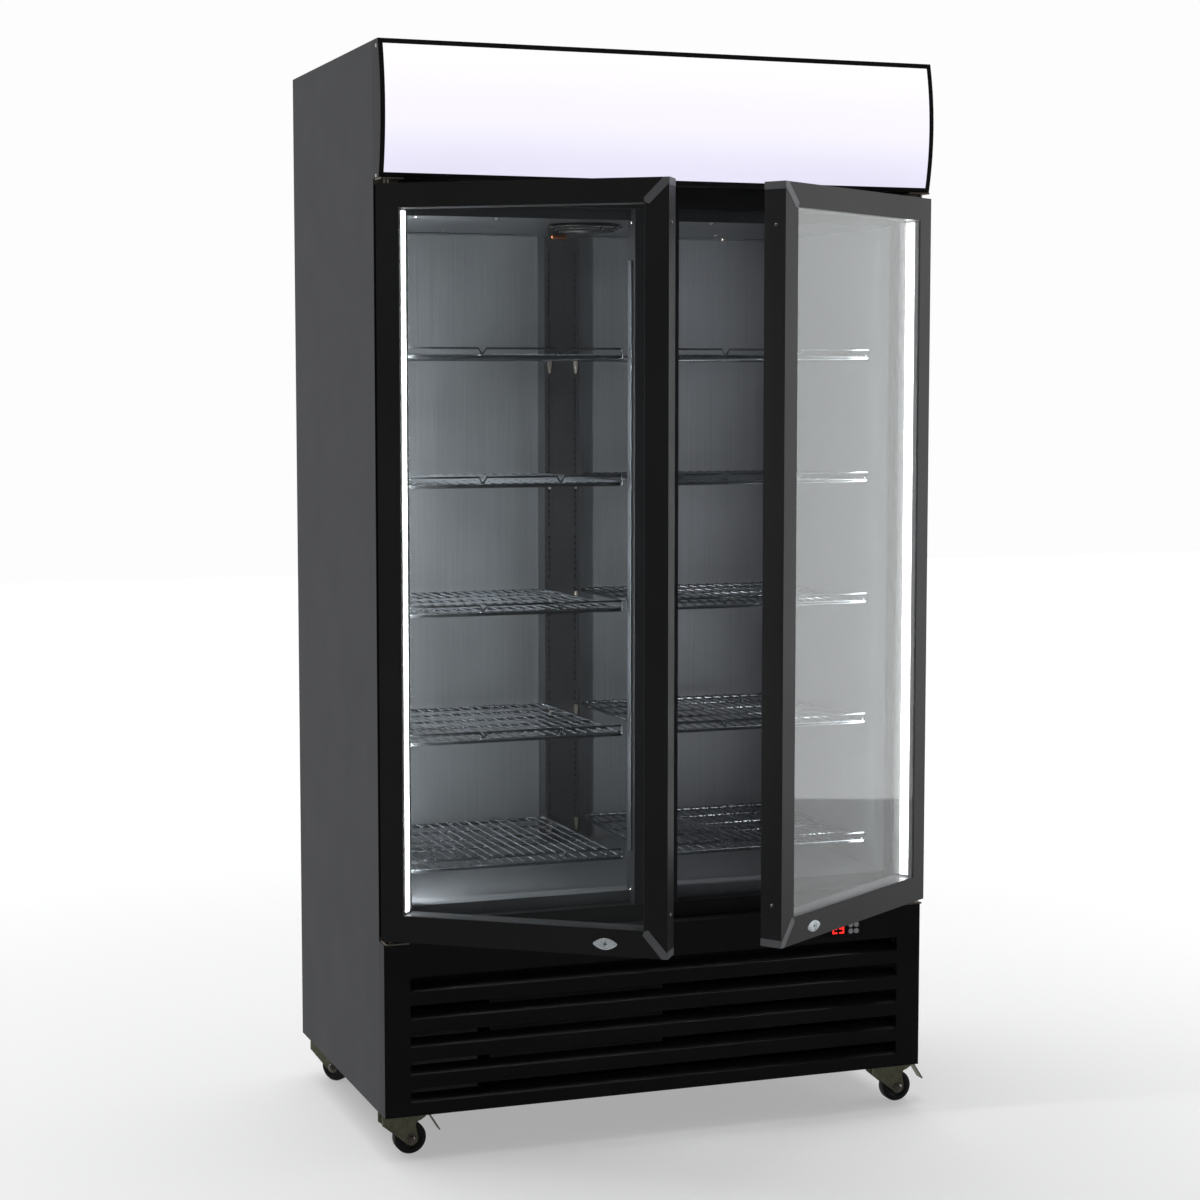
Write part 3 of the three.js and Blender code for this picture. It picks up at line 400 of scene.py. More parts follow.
# ---- Finishes ----


@dataclass(frozen=True)
class Finish:
    """A surface finish, made into a material once.

    Attributes:
        name: What the material is called.
    """

    name: str

    def material(self) -> bpy.types.Material:
        """The finish's material, made at the first call.

        Returns:
            The one material that every piece with this finish shares.
        """
        found = bpy.data.materials.get(self.name)
        if found is not None:
            return found
        made = bpy.data.materials.new(self.name)
        made.use_nodes = True
        made.node_tree.nodes.clear()
        surface = self.shader(made.node_tree)
        add_node(made.node_tree, "ShaderNodeOutputMaterial", {}, {"Surface": surface})
        return made

    def shader(self, tree: bpy.types.NodeTree) -> bpy.types.NodeSocket:
        """Builds the finish's nodes.

        Args:
            tree: The material's tree.

        Returns:
            The output that the surface takes.
        """
        raise NotImplementedError


@dataclass(frozen=True)
class Grained(Finish):
    """A finish whose colour, gloss and height all vary with a three-dimensional grain.

    Attributes:
        dark: Colour in the hollows of the grain, as sRGB hex.
        light: Colour on its heights.
        roughness: Mean roughness.
        spread: How far the roughness strays from its mean.
        metallic: 1 for bare metal.
        grain: Size of one grain along X, Y and Z, in metres.
        height: Height of the grain, in metres.
        detail: Octaves of finer grain.
        patch: Size of the slow change of colour and gloss, in metres.
        specular: Strength of the reflection off a coating.
    """

    dark: str
    light: str
    roughness: float
    spread: float = 0.05
    metallic: float = 0.0
    grain: tuple[float, float, float] = (0.0012, 0.0012, 0.0012)
    height: float = 0.00003
    detail: float = 2.0
    patch: float = 0.12
    specular: float = 0.5

    def shader(self, tree: bpy.types.NodeTree) -> bpy.types.NodeSocket:
        """Noise stretched to the grain's size for height, and a slower noise for colour and gloss.

        Args:
            tree: The material's tree.

        Returns:
            The shader's output.
        """
        place = add_node(tree, "ShaderNodeTexCoord", {}, {}).outputs["Object"]
        scale = tuple(1.0 / size for size in self.grain)
        stretched = add_node(tree, "ShaderNodeMapping", {}, {"Vector": place, "Scale": scale}).outputs[0]
        fine = add_node(tree, "ShaderNodeTexNoise", {}, {
            "Vector": stretched, "Scale": 1.0, "Detail": self.detail, "Roughness": 0.55,
        }).outputs["Fac"]
        slow = add_node(tree, "ShaderNodeTexNoise", {}, {
            "Vector": place, "Scale": 1.0 / self.patch, "Detail": 3.0,
        }).outputs["Fac"]
        patches = add_node(tree, "ShaderNodeMath", {"operation": "MULTIPLY"}, {
            0: slow, 1: 1.0 - FINE_SHARE,
        }).outputs[0]
        blend = add_node(tree, "ShaderNodeMath", {"operation": "MULTIPLY_ADD"}, {
            0: fine, 1: FINE_SHARE, 2: patches,
        }).outputs[0]
        tone = add_node(tree, "ShaderNodeValToRGB", {}, {"Fac": blend})
        set_ramp(tone, [(0.32, self.dark), (0.68, self.light)])
        gloss = add_node(tree, "ShaderNodeMapRange", {}, {
            "Value": blend, "From Min": 0.3, "From Max": 0.7,
            "To Min": self.roughness - self.spread, "To Max": self.roughness + self.spread,
        }).outputs[0]
        relief = add_node(tree, "ShaderNodeBump", {}, {
            "Strength": 0.6, "Distance": self.height, "Height": fine,
        }).outputs[0]
        return add_node(tree, "ShaderNodeBsdfPrincipled", {}, {
            "Base Color": tone.outputs[0], "Roughness": gloss, "Metallic": self.metallic,
            "Normal": relief, "Specular IOR Level": self.specular,
        }).outputs[0]


@dataclass(frozen=True)
class Pane(Finish):
    """Clear float glass: see-through, with a mirror that grows towards grazing angles.

    Attributes:
        tint: Colour of what is seen through it.
        head_on: Share of light that one face mirrors head on.
        smear: Size of the faint smears left by wiping, in metres.
    """

    tint: str = "#fcfdfd"
    head_on: float = 0.04
    smear: float = 0.09

    def shader(self, tree: bpy.types.NodeTree) -> bpy.types.NodeSocket:
        """A Transparent and a Glossy shader, mixed by Schlick's rule.

        The mirrored share is the head-on share, plus what it lacks of 1 times the fifth power of how
        far the face turns away from the eye.

        Args:
            tree: The material's tree.

        Returns:
            The shader's output.
        """
        place = add_node(tree, "ShaderNodeTexCoord", {}, {}).outputs["Object"]
        wiped = add_node(tree, "ShaderNodeTexNoise", {}, {
            "Vector": place, "Scale": 1.0 / self.smear, "Detail": 4.0, "Distortion": 0.8,
        }).outputs["Fac"]
        haze = add_node(tree, "ShaderNodeMapRange", {}, {
            "Value": wiped, "From Min": 0.4, "From Max": 0.75, "To Min": 0.01, "To Max": 0.06,
        }).outputs[0]
        through = add_node(tree, "ShaderNodeBsdfTransparent", {}, {"Color": linear(self.tint)}).outputs[0]
        mirror = add_node(tree, "ShaderNodeBsdfAnisotropic", {}, {
            "Color": linear("#ffffff"), "Roughness": haze,
        }).outputs[0]
        facing = add_node(tree, "ShaderNodeLayerWeight", {}, {"Blend": 0.5}).outputs["Facing"]
        rise = add_node(tree, "ShaderNodeMath", {"operation": "POWER"}, {0: facing, 1: 5.0}).outputs[0]
        share = add_node(tree, "ShaderNodeMath", {"operation": "MULTIPLY_ADD"}, {
            0: rise, 1: 1.0 - self.head_on, 2: self.head_on,
        }).outputs[0]
        return add_node(tree, "ShaderNodeMixShader", {}, {0: share, 1: through, 2: mirror}).outputs[0]


@dataclass(frozen=True)
class Glow(Finish):
    """A lit surface whose colour changes along one axis, with a fine diffusing texture.

    Attributes:
        stops: Places along the glow, from 0 to 1, with sRGB hex colours.
        start: Where the glow's colours start on the axis, in metres.
        end: Where they end.
        axis: X, Y or Z.
        strength: How bright it is.
        grain: Size of the diffusing texture, in metres.
        depth: How much the texture darkens it.
        base: Colour of the unlit surface.
    """

    stops: tuple[tuple[float, str], ...]
    start: float
    end: float
    axis: str = "Z"
    strength: float = 1.0
    grain: float = 0.004
    depth: float = 0.02
    base: str = "#606068"

    def shader(self, tree: bpy.types.NodeTree) -> bpy.types.NodeSocket:
        """A colour ramp along the axis, slightly darkened by noise, as the emission of plain plastic.

        Args:
            tree: The material's tree.

        Returns:
            The shader's output.
        """
        place = add_node(tree, "ShaderNodeTexCoord", {}, {}).outputs["Object"]
        along = add_node(tree, "ShaderNodeSeparateXYZ", {}, {0: place}).outputs[self.axis]
        share = add_node(tree, "ShaderNodeMapRange", {}, {
            "Value": along, "From Min": self.start, "From Max": self.end,
        }).outputs[0]
        ramp = add_node(tree, "ShaderNodeValToRGB", {}, {"Fac": share})
        ramp.color_ramp.interpolation = "EASE"
        set_ramp(ramp, self.stops)
        speck = add_node(tree, "ShaderNodeTexNoise", {}, {
            "Vector": place, "Scale": 1.0 / self.grain,
        }).outputs["Fac"]
        shade = add_node(tree, "ShaderNodeMapRange", {}, {
            "Value": speck, "To Min": 1.0 - self.depth, "To Max": 1.0,
        }).outputs[0]
        colour = add_node(tree, "ShaderNodeVectorMath", {"operation": "SCALE"}, {
            0: ramp.outputs[0], "Scale": shade,
        }).outputs[0]
        return add_node(tree, "ShaderNodeBsdfPrincipled", {}, {
            "Base Color": linear(self.base), "Roughness": 0.35,
            "Emission Color": colour, "Emission Strength": self.strength,
        }).outputs[0]


@dataclass(frozen=True)
class StudioFloor(Finish):
    """A pale studio floor whose own glow rises away from what stands on it: painted light that lifts its
    shadows, kept low under the object as painted shade.

    Attributes:
        colour: Its colour.
        near: Strength of its glow under the object, kept low as painted shade.
        far: Strength of its glow far away, painted light.
        start: Distance from which it grows brighter, in metres.
        reach: Distance at which it is brightest.
    """

    colour: str = "#c4c4c4"
    near: float = 0.38
    far: float = 0.56
    start: float = 0.7
    reach: float = 4.2

    def shader(self, tree: bpy.types.NodeTree) -> bpy.types.NodeSocket:
        """A matt colour with a fine mottle, and an emission that depends on the distance: a painted glow,
        weaker near the object as painted shade.

        Args:
            tree: The material's tree.

        Returns:
            The shader's output.
        """
        place = add_node(tree, "ShaderNodeTexCoord", {}, {}).outputs["Object"]
        away = add_node(tree, "ShaderNodeVectorMath", {"operation": "LENGTH"}, {0: place}).outputs["Value"]
        # Painted light: the floor's glow, weakest near the object as painted shade under it.
        own = add_node(tree, "ShaderNodeMapRange", {"interpolation_type": "SMOOTHSTEP"}, {
            "Value": away, "From Min": self.start, "From Max": self.reach,
            "To Min": self.near, "To Max": self.far,
        }).outputs[0]
        mottle = add_node(tree, "ShaderNodeTexNoise", {}, {
            "Vector": place, "Scale": 0.7, "Detail": 2.0,
        }).outputs["Fac"]
        shade = add_node(tree, "ShaderNodeMapRange", {}, {
            "Value": mottle, "To Min": 0.985, "To Max": 1.0,
        }).outputs[0]
        tone = add_node(tree, "ShaderNodeVectorMath", {"operation": "SCALE"}, {
            0: linear(self.colour)[:3], "Scale": shade,
        }).outputs[0]
        return add_node(tree, "ShaderNodeBsdfPrincipled", {}, {
            "Base Color": tone, "Roughness": 0.8,
            "Emission Color": linear("#ffffff"), "Emission Strength": own,
        }).outputs[0]


# Satin powder coat: polyester powder sprayed on steel sheet and baked. It flows into a fine orange
# peel, which breaks up the reflections of a half-gloss charcoal.
CASE_PAINT = Grained("satin_powder_coat", "#26272a", "#2f3033", 0.42, grain=(0.0022,) * 3, height=0.00006)
# The same coat in black, on the front panels: the peel shows only where a light grazes it.
BLACK_PAINT = Grained("black_powder_coat", "#0b0b0c", "#121213", 0.4, grain=(0.0022,) * 3, height=0.00005)
# Satin stainless sheet, ground along the height of the cabinet: upright scratches draw each light out
# into a soft streak.
LINER_METAL = Grained(
    "ground_stainless_sheet", "#56585b", "#6c6f73", 0.43, 0.05, 0.6, (0.0009, 0.0009, 0.3), 0.00001, 3.0, 0.25
)
# Mill-finish aluminium sheet, rolled from left to right: brighter, with long faint roll lines.
COVER_METAL = Grained(
    "rolled_aluminium_sheet", "#6c7074", "#85898d", 0.3, 0.04, 1.0, (0.2, 0.0009, 0.0009), 0.00001, 3.0, 0.3
)
# Aluminium posts anodised dark after brushing: a grey metal sheen along the height.
POST_METAL = Grained(
    "dark_anodised_post", "#3a3b3d", "#4a4b4e", 0.38, 0.04, 0.85, (0.0009, 0.0009, 0.3), 0.00001, 3.0, 0.25
)
# Black anodised extrusion: the die leaves faint lines along the bar, and the dye makes it near black
# with a weak, even sheen.
DOOR_PROFILE = Grained(
    "black_anodised_extrusion", "#1c1c1d", "#222223", 0.42, 0.04, 0.0, (0.0006, 0.0006, 0.09), 0.00001,
    patch=0.2, specular=0.36,
)
# Grey lining of the door's reveal: its pale grey is a painted highlight of the reveal's faces catching the
# light. Fine lines along its length, and a flat satin look.
REVEAL_PAINTED_HIGHLIGHT = Grained("grey_glazing_bead", "#4a4b4d", "#5b5c5e", 0.4, 0.05, 0.0, (0.0006, 0.0006, 0.05), 0.00001)
# Die-cast zinc corner keys, tumbled and lacquered grey: slightly pebbled, a little brighter than the bars.
CORNER_CAP = Grained("grey_cast_corner", "#5c5d5f", "#6e6f72", 0.4, 0.05, 0.3, (0.0015,) * 3, 0.00004)
# Black ABS, moulded in a spark-eroded tool: an even fine grain that keeps reflections dull.
BLACK_PLASTIC = Grained("moulded_black_abs", "#0c0c0d", "#151516", 0.5, 0.06, 0.0, (0.0008,) * 3, 0.00004)
# Smoked acrylic, cast against glass: almost black, and smooth enough to mirror.
SMOKED_WINDOW = Grained(
    "smoked_acrylic_window", "#070708", "#0c0c0e", 0.12, 0.03, 0.0, (0.002,) * 3, 0.000004
)
# Grey moulded key tops with a matt tool grain, so they stay legible under a lamp.
GREY_BUTTON = Grained("moulded_grey_button", "#7f8082", "#96979a", 0.55, 0.05, 0.0, (0.0006,) * 3, 0.00003)
# Magnetic door gasket in plasticised PVC, extruded: soft and dull, with the bloom of its plasticiser.
GASKET = Grained("black_pvc_gasket", "#08080a", "#111113", 0.68, 0.08, 0.0, (0.0015,) * 3, 0.00005)
# Bright nickel-chrome plate on drawn wire: mirrors in thin lines, a little clouded by the drawing.
WIRE_CHROME = Grained(
    "bright_plated_wire", "#7b8085", "#a2a7ab", 0.22, 0.05, 1.0, (0.004,) * 3, 0.00001, patch=0.05
)
# Chrome of the lock and its plate, given a pale and mostly matt colour: a painted reflection, so it is pale
# from every side.
LOCK_PAINTED_REFLECTION = Grained(
    "satin_chrome", "#c2ccd0", "#dde3e6", 0.3, 0.05, 0.3, (0.003,) * 3, 0.00001, patch=0.02
)
# Passivated zinc plate: the bath leaves a yellow-green tinge, in streaks where it drained.
ZINC = Grained(
    "passivated_zinc", "#7f7f6a", "#a9a990", 0.36, 0.07, 0.75, (0.004, 0.004, 0.009), 0.00002, 4.0, 0.02
)
# Clear zinc plate on pressed steel: warm grey, clouded by handling.
HINGE_STEEL = Grained(
    "zinc_plated_hinge", "#8c857c", "#bdb5aa", 0.32, 0.06, 0.9, (0.003,) * 3, 0.00002, patch=0.02
)
# Turned and zinc-plated bolt heads: brighter, with small clouds of stain.
BOLT_STEEL = Grained(
    "turned_bolt_steel", "#8f8683", "#b9aeab", 0.26, 0.06, 0.9, (0.002,) * 3, 0.00002, patch=0.01
)
# White nylon caps, moulded: chalky white with a soft sheen.
WHITE_CAP = Grained("moulded_white_cap", "#d8d8d8", "#f0f0f0", 0.4, 0.05, 0.0, (0.001,) * 3, 0.00002)
# Moulded thermoplastic rubber: dull black, scuffed grey where it has rolled.
TYRE = Grained(
    "moulded_wheel_rubber", "#151516", "#222224", 0.58, 0.08, 0.0, (0.001,) * 3, 0.00006, 4.0, 0.01
)
# Glass-filled nylon wheel core, moulded: harder and a shade paler than the tyre.
WHEEL_CORE = Grained("moulded_wheel_core", "#1d1d1f", "#2b2b2e", 0.45, 0.06, 0.0, (0.001,) * 3, 0.00004)
# Polyurethane foam, blown between case and liner: closed yellow cells, quite matt.
FOAM = Grained("polyurethane_foam", "#b49f5c", "#dccd92", 0.92, 0.04, 0.0, (0.0011,) * 3, 0.0003, 5.0, 0.04)
# Bare aluminium fin stock, rolled thin and sheared: bright edges that dull in patches.
FIN_STOCK = Grained("aluminium_fin_stock", "#8c9093", "#b2b6b9", 0.33, 0.06, 1.0, (0.0015,) * 3, 0.00002)
# Soft-drawn copper tube: a warm metal with brown clouds from brazing.
COPPER = Grained("drawn_copper_tube", "#8f4f30", "#c07a52", 0.3, 0.07, 1.0, (0.003,) * 3, 0.00002, patch=0.02)
# Mill-finish aluminium spacer of a sealed glass unit: pale, even metal.
SPACER = Grained("mill_aluminium_spacer", "#8d9093", "#b4b7ba", 0.35, 0.05, 0.8, (0.002,) * 3, 0.00002)
# Clear float glass: flat and colourless, with faint smears from wiping that show in its reflections.
GLASS = Pane("clear_float_glass")
# Red light-emitting segments behind a diffusing film.
RED_DIGIT = Glow("red_segment", ((0.0, "#ff2a22"), (1.0, "#ff3a30")), 0.0, 3.0, strength=1.6, base="#300404")
# Opal polycarbonate lens over a row of white diodes: an even white line.
LAMP = Glow("lit_opal_lens", ((0.0, "#ffffff"), (1.0, "#ffffff")), 0.0, 3.0, strength=9.0)
# Opal acrylic of the lit header, from its foot to its head: cool at the foot, near white higher up.
SIGN_TONES = ((0.0, "#e5e2f5"), (0.5, "#f6f3ff"), (1.0, "#fcfaff"))
# Seamless paper sweep: matt and pale, with a painted glow that is weaker under the cabinet as painted shade.
FLOOR = StudioFloor("pale_studio_floor")


# ---- Putting pieces into the scene ----


@dataclass(frozen=True)
class Extras:
    """Finishing touches of a piece.

    Attributes:
        bevel: Width of a rounded edge, in metres, or 0.
        thickness: Sheet thickness to give an open sheet, or 0.
        replaces: Frame nodes that the piece stands for.
        slot: The record's material slot. Not used.
    """

    bevel: float = 0.0
    thickness: float = 0.0
    replaces: tuple[str, ...] = ()
    slot: str = ""


def round_edges(piece: bpy.types.Object, width: float) -> None:
    """Rounds a piece's sharp edges, as rolled or moulded edges are.

    Args:
        piece: The piece's object.
        width: Width of the rounding, in metres.
    """
    edge = piece.modifiers.new("edge", "BEVEL")
    edge.width = width
    edge.segments = 2
    edge.limit_method = "ANGLE"
    edge.angle_limit = SHARP_ANGLE


def put(name: str, shape: Shape, finish: Finish, body: str, extras: Extras = Extras()) -> bpy.types.Object:
    """Makes a piece from a shape, with its finish, and lets it ride on a body.

    Args:
        name: The piece's name.
        shape: Its points and faces, in place.
        finish: Its finish.
        body: The body it moves with.
        extras: Its finishing touches.

    Returns:
        The new object.
    """
    mesh = bpy.data.meshes.new(name)
    mesh.from_pydata(shape.points.tolist(), [], shape.faces)
    work = bmesh.new()
    work.from_mesh(mesh)
    bmesh.ops.remove_doubles(work, verts=work.verts, dist=1e-6)
    bmesh.ops.dissolve_degenerate(work, edges=work.edges, dist=1e-7)
    bmesh.ops.recalc_face_normals(work, faces=work.faces)
    work.to_mesh(mesh)
    work.free()
    if not extras.thickness:
        mesh.shade_smooth()
        mesh.set_sharp_from_angle(angle=SHARP_ANGLE)
    mesh.materials.append(finish.material())
    piece = bpy.data.objects.new(name, mesh)
    bpy.context.scene.collection.objects.link(piece)
    if extras.thickness:
        sheet = piece.modifiers.new("sheet", "SOLIDIFY")
        sheet.thickness = extras.thickness
        sheet.offset = 0.0
    if extras.bevel:
        round_edges(piece, extras.bevel)
    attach(piece, body)
    if extras.replaces:
        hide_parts(*extras.replaces)
    LOG.info("%s: %d faces on %s", name, len(mesh.polygons), body)
    return piece


def dress(node: str, finish: Finish, bevel: float = 0.0) -> None:
    """Gives a frame node's own object a finish and rounds its edges.

    Args:
        node: The frame node.
        finish: Its finish.
        bevel: Width of a rounded edge, in metres, or 0.
    """
    target = bpy.data.objects[node]
    target.data.materials.clear()
    target.data.materials.append(finish.material())
    if bevel:
        round_edges(target, bevel)
    LOG.info("%s: finished as %s", node, finish.name)


def span(node: str) -> tuple[np.ndarray, np.ndarray]:
    """Lowest and highest corner of a frame node, as arrays."""
    low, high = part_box(node)
    return np.array(low), np.array(high)


def node_points(node: str) -> np.ndarray:
    """All the corners of a frame node, in the frame's coordinates.

    Args:
        node: The node's name.

    Returns:
        One row for each corner.
    """
    source = bpy.data.objects[node]
    bpy.context.view_layer.update()
    flat = np.empty(3 * len(source.data.vertices))
    source.data.vertices.foreach_get("co", flat)
    world = np.array(source.matrix_world)
    return flat.reshape(-1, 3) @ world[:3, :3].T + world[:3, 3]


def screws(centres: Any, axis: Sequence[float], radius: float) -> Shape:
    """Pan heads with a sunk cross: low domes, each with a dimple about its axis.

    Args:
        centres: One row for the seat of each head.
        axis: Unit direction that the heads face.
        radius: Radius of a head.

    Returns:
        All the heads in one shape.
    """
    turn = np.linspace(0, math.pi / 2, 5)
    dome = np.stack([radius * np.cos(turn), 0.55 * radius * np.sin(turn)], -1)[:-1]
    profile = np.concatenate([
        [[0.0, -0.3 * radius], [radius, -0.3 * radius]], dome,
        [[0.3 * radius, 0.52 * radius], [0.12 * radius, 0.2 * radius], [0.0, 0.16 * radius]],
    ])
    return merged(lathe(profile, centre, axis, 14) for centre in np.atleast_2d(centres))


class Side(Enum):
    """Left or right, as someone facing the doors sees it, with its sign along X."""

    LEFT = -1
    RIGHT = 1

    @property
    def label(self) -> str:
        """The side's name in lower case."""
        return self.name.lower()


SHELF_LEVELS = range(1, 6)
SHELF_NOTCHES = {Side.LEFT: (0.365, 0.715), Side.RIGHT: (0.3, 0.65)}


@dataclass(frozen=True)
class Datum:
    """Planes that the whole cabinet is set out from.

    Attributes:
        middle: X of the middle of the case.
        front: Y of the front plane of the machine compartment.
        base: Z of the underside of the base.
    """

    middle: float
    front: float
    base: float

    @classmethod
    def from_frame(cls) -> "Datum":
        """Reads the planes off the side panels and the grille.

        Returns:
            The datum of the loaded frame.
        """
        low = span("side_panel_left")[0]
        middle = (low[0] + span("side_panel_right")[1][0]) / 2
        return cls(middle, span("front_grille")[0][1], low[2])

    def at(self, x: float, y: float, z: float) -> np.ndarray:
        """A point given from the middle, the front plane and the base, in metres."""
        return np.array([self.middle + x, self.front + y, self.base + z])


# ---- Studio ----


@dataclass(frozen=True)
class Softbox:
    """A flat rectangular lamp that the lens doesn't see.

    Attributes:
        name: Its name.
        place: Where it stands, from the cabinet's datum.
        aim: The point it faces, from the datum too.
        size: Width and height.
        power: In watts.
    """

    name: str
    place: tuple[float, float, float]
    aim: tuple[float, float, float]
    size: tuple[float, float]
    power: float


# The big box stands where the right door's glass mirrors it. The one below it fades that reflection
# towards the foot of the glass. The wash lights the left side from behind, and a strip by each front
# corner of the liner stands for what the door lamps throw on the walls.
SOFTBOXES = (
    Softbox("right_softbox", (4.4, -0.5, 1.45), (0.4, -0.5, 1.45), (3.0, 3.1), 43.0),
    Softbox("right_foot_softbox", (4.4, -0.5, -0.44), (0.4, -0.5, -0.44), (3.0, 0.7), 4.9),
    Softbox("left_wash", (-3.2, 2.6, 1.5), (-0.5, 0.4, 1.0), (2.6, 2.8), 4.2),
    Softbox("bay_light_left", (-0.49, 0.09, 1.05), (-0.1, 0.6, 1.05), (0.03, 1.26), 20.0),
    Softbox("bay_light_right", (0.49, 0.09, 1.05), (0.1, 0.6, 1.05), (0.03, 1.26), 1.2),
)


@dataclass
class Studio:
    """Camera, lights and floor.

    Attributes:
        datum: The planes of the cabinet.
        eye: Where the camera stands, from the datum.
        lens: Focal length, in millimetres.
        sensor: Width of the sensor, in millimetres.
        heading: How far the camera turns to the right of straight ahead, in degrees.
        pitch: How far it looks down, in degrees.
        ceiling: Strength of the even light from above.
        floor_reach: Half the width of the floor.
    """

    datum: Datum
    eye: tuple[float, float, float] = (-1.75266, -4.44999, 1.38222)
    lens: float = 74.75
    sensor: float = 36.0
    heading: float = 20.0405
    pitch: float = 4.9877
    ceiling: float = 2.3
    floor_reach: float = 14.0

    def build(self) -> None:
        """Sets up everything round the cabinet."""
        self.camera()
        self.world()
        self.lights()
        self.floor()
        bpy.context.scene.view_settings.view_transform = "Standard"

    def camera(self) -> None:
        """A long lens to the left of the cabinet, a little above its middle."""
        lens = bpy.data.cameras.new("camera")
        lens.lens = self.lens
        lens.sensor_width = self.sensor
        lens.clip_end = 100.0
        camera = bpy.data.objects.new("camera", lens)
        camera.location = self.datum.at(*self.eye)
        camera.rotation_euler = (math.radians(90 - self.pitch), 0.0, math.radians(-self.heading))
        bpy.context.scene.collection.objects.link(camera)
        bpy.context.scene.camera = camera

    def world(self) -> None:
        """A white backdrop to the lens. What lights the cabinet is brighter behind it than in front."""
        world = bpy.data.worlds.new("studio")
        world.use_nodes = True
        tree = world.node_tree
        tree.nodes.clear()
        toward = add_node(tree, "ShaderNodeTexCoord", {}, {}).outputs["Generated"]
        behind = add_node(tree, "ShaderNodeSeparateXYZ", {}, {0: toward}).outputs["Y"]
        share = add_node(tree, "ShaderNodeMapRange", {"interpolation_type": "SMOOTHSTEP"}, {
            "Value": behind, "From Min": -0.3, "From Max": 0.9, "To Min": 0.05, "To Max": 0.4,
        }).outputs[0]
        seen = add_node(tree, "ShaderNodeLightPath", {}, {}).outputs["Is Camera Ray"]
        fill = add_node(tree, "ShaderNodeBackground", {}, {
            "Color": linear("#fbfcff"), "Strength": share,
        }).outputs[0]
        white = add_node(tree, "ShaderNodeBackground", {}, {
            "Color": linear("#fdfdfd"), "Strength": 1.0,
        }).outputs[0]
        mix = add_node(tree, "ShaderNodeMixShader", {}, {0: seen, 1: fill, 2: white}).outputs[0]
        add_node(tree, "ShaderNodeOutputWorld", {}, {"Surface": mix})
        bpy.context.scene.world = world

    def lights(self) -> None:
        """The softboxes, and a wide even light from above."""
        for softbox in SOFTBOXES:
            self.area(softbox)
        above = bpy.data.lights.new("ceiling", "SUN")
        above.energy = self.ceiling
        above.angle = math.radians(70)
        lamp = bpy.data.objects.new("ceiling", above)
        lamp.rotation_euler = (math.radians(-14), math.radians(-8), 0.0)
        bpy.context.scene.collection.objects.link(lamp)

    def area(self, softbox: Softbox) -> None:
        """Adds a softbox, turned to face what it aims at.

        Args:
            softbox: The softbox.
        """
        data = bpy.data.lights.new(softbox.name, "AREA")
        data.shape = "RECTANGLE"
        data.size, data.size_y = softbox.size
        data.energy = softbox.power
        lamp = bpy.data.objects.new(softbox.name, data)
        source, target = self.datum.at(*softbox.place), self.datum.at(*softbox.aim)
        lamp.location = source
        x, y, z = target - source
        lamp.rotation_euler = (math.atan2(math.hypot(x, y), -z), 0.0, math.atan2(-x, y))
        lamp.visible_camera = False
        bpy.context.scene.collection.objects.link(lamp)

    def floor(self) -> None:
        """A wide pale sheet under the castors."""
        count = 41
        line = np.linspace(-self.floor_reach, self.floor_reach, count)
        x, y = np.meshgrid(line, line, indexing="ij")
        points = np.stack([x, y, np.zeros_like(x)], -1).reshape(-1, 3)
        mesh = bpy.data.meshes.new("floor")
        mesh.from_pydata(points.tolist(), [], quads(count, count, False, False))
        mesh.flip_normals()
        mesh.materials.append(FLOOR.material())
        sheet = bpy.data.objects.new("floor", mesh)
        bpy.context.scene.collection.objects.link(sheet)
        sheet.visible_glossy = False


# ---- Doors ----


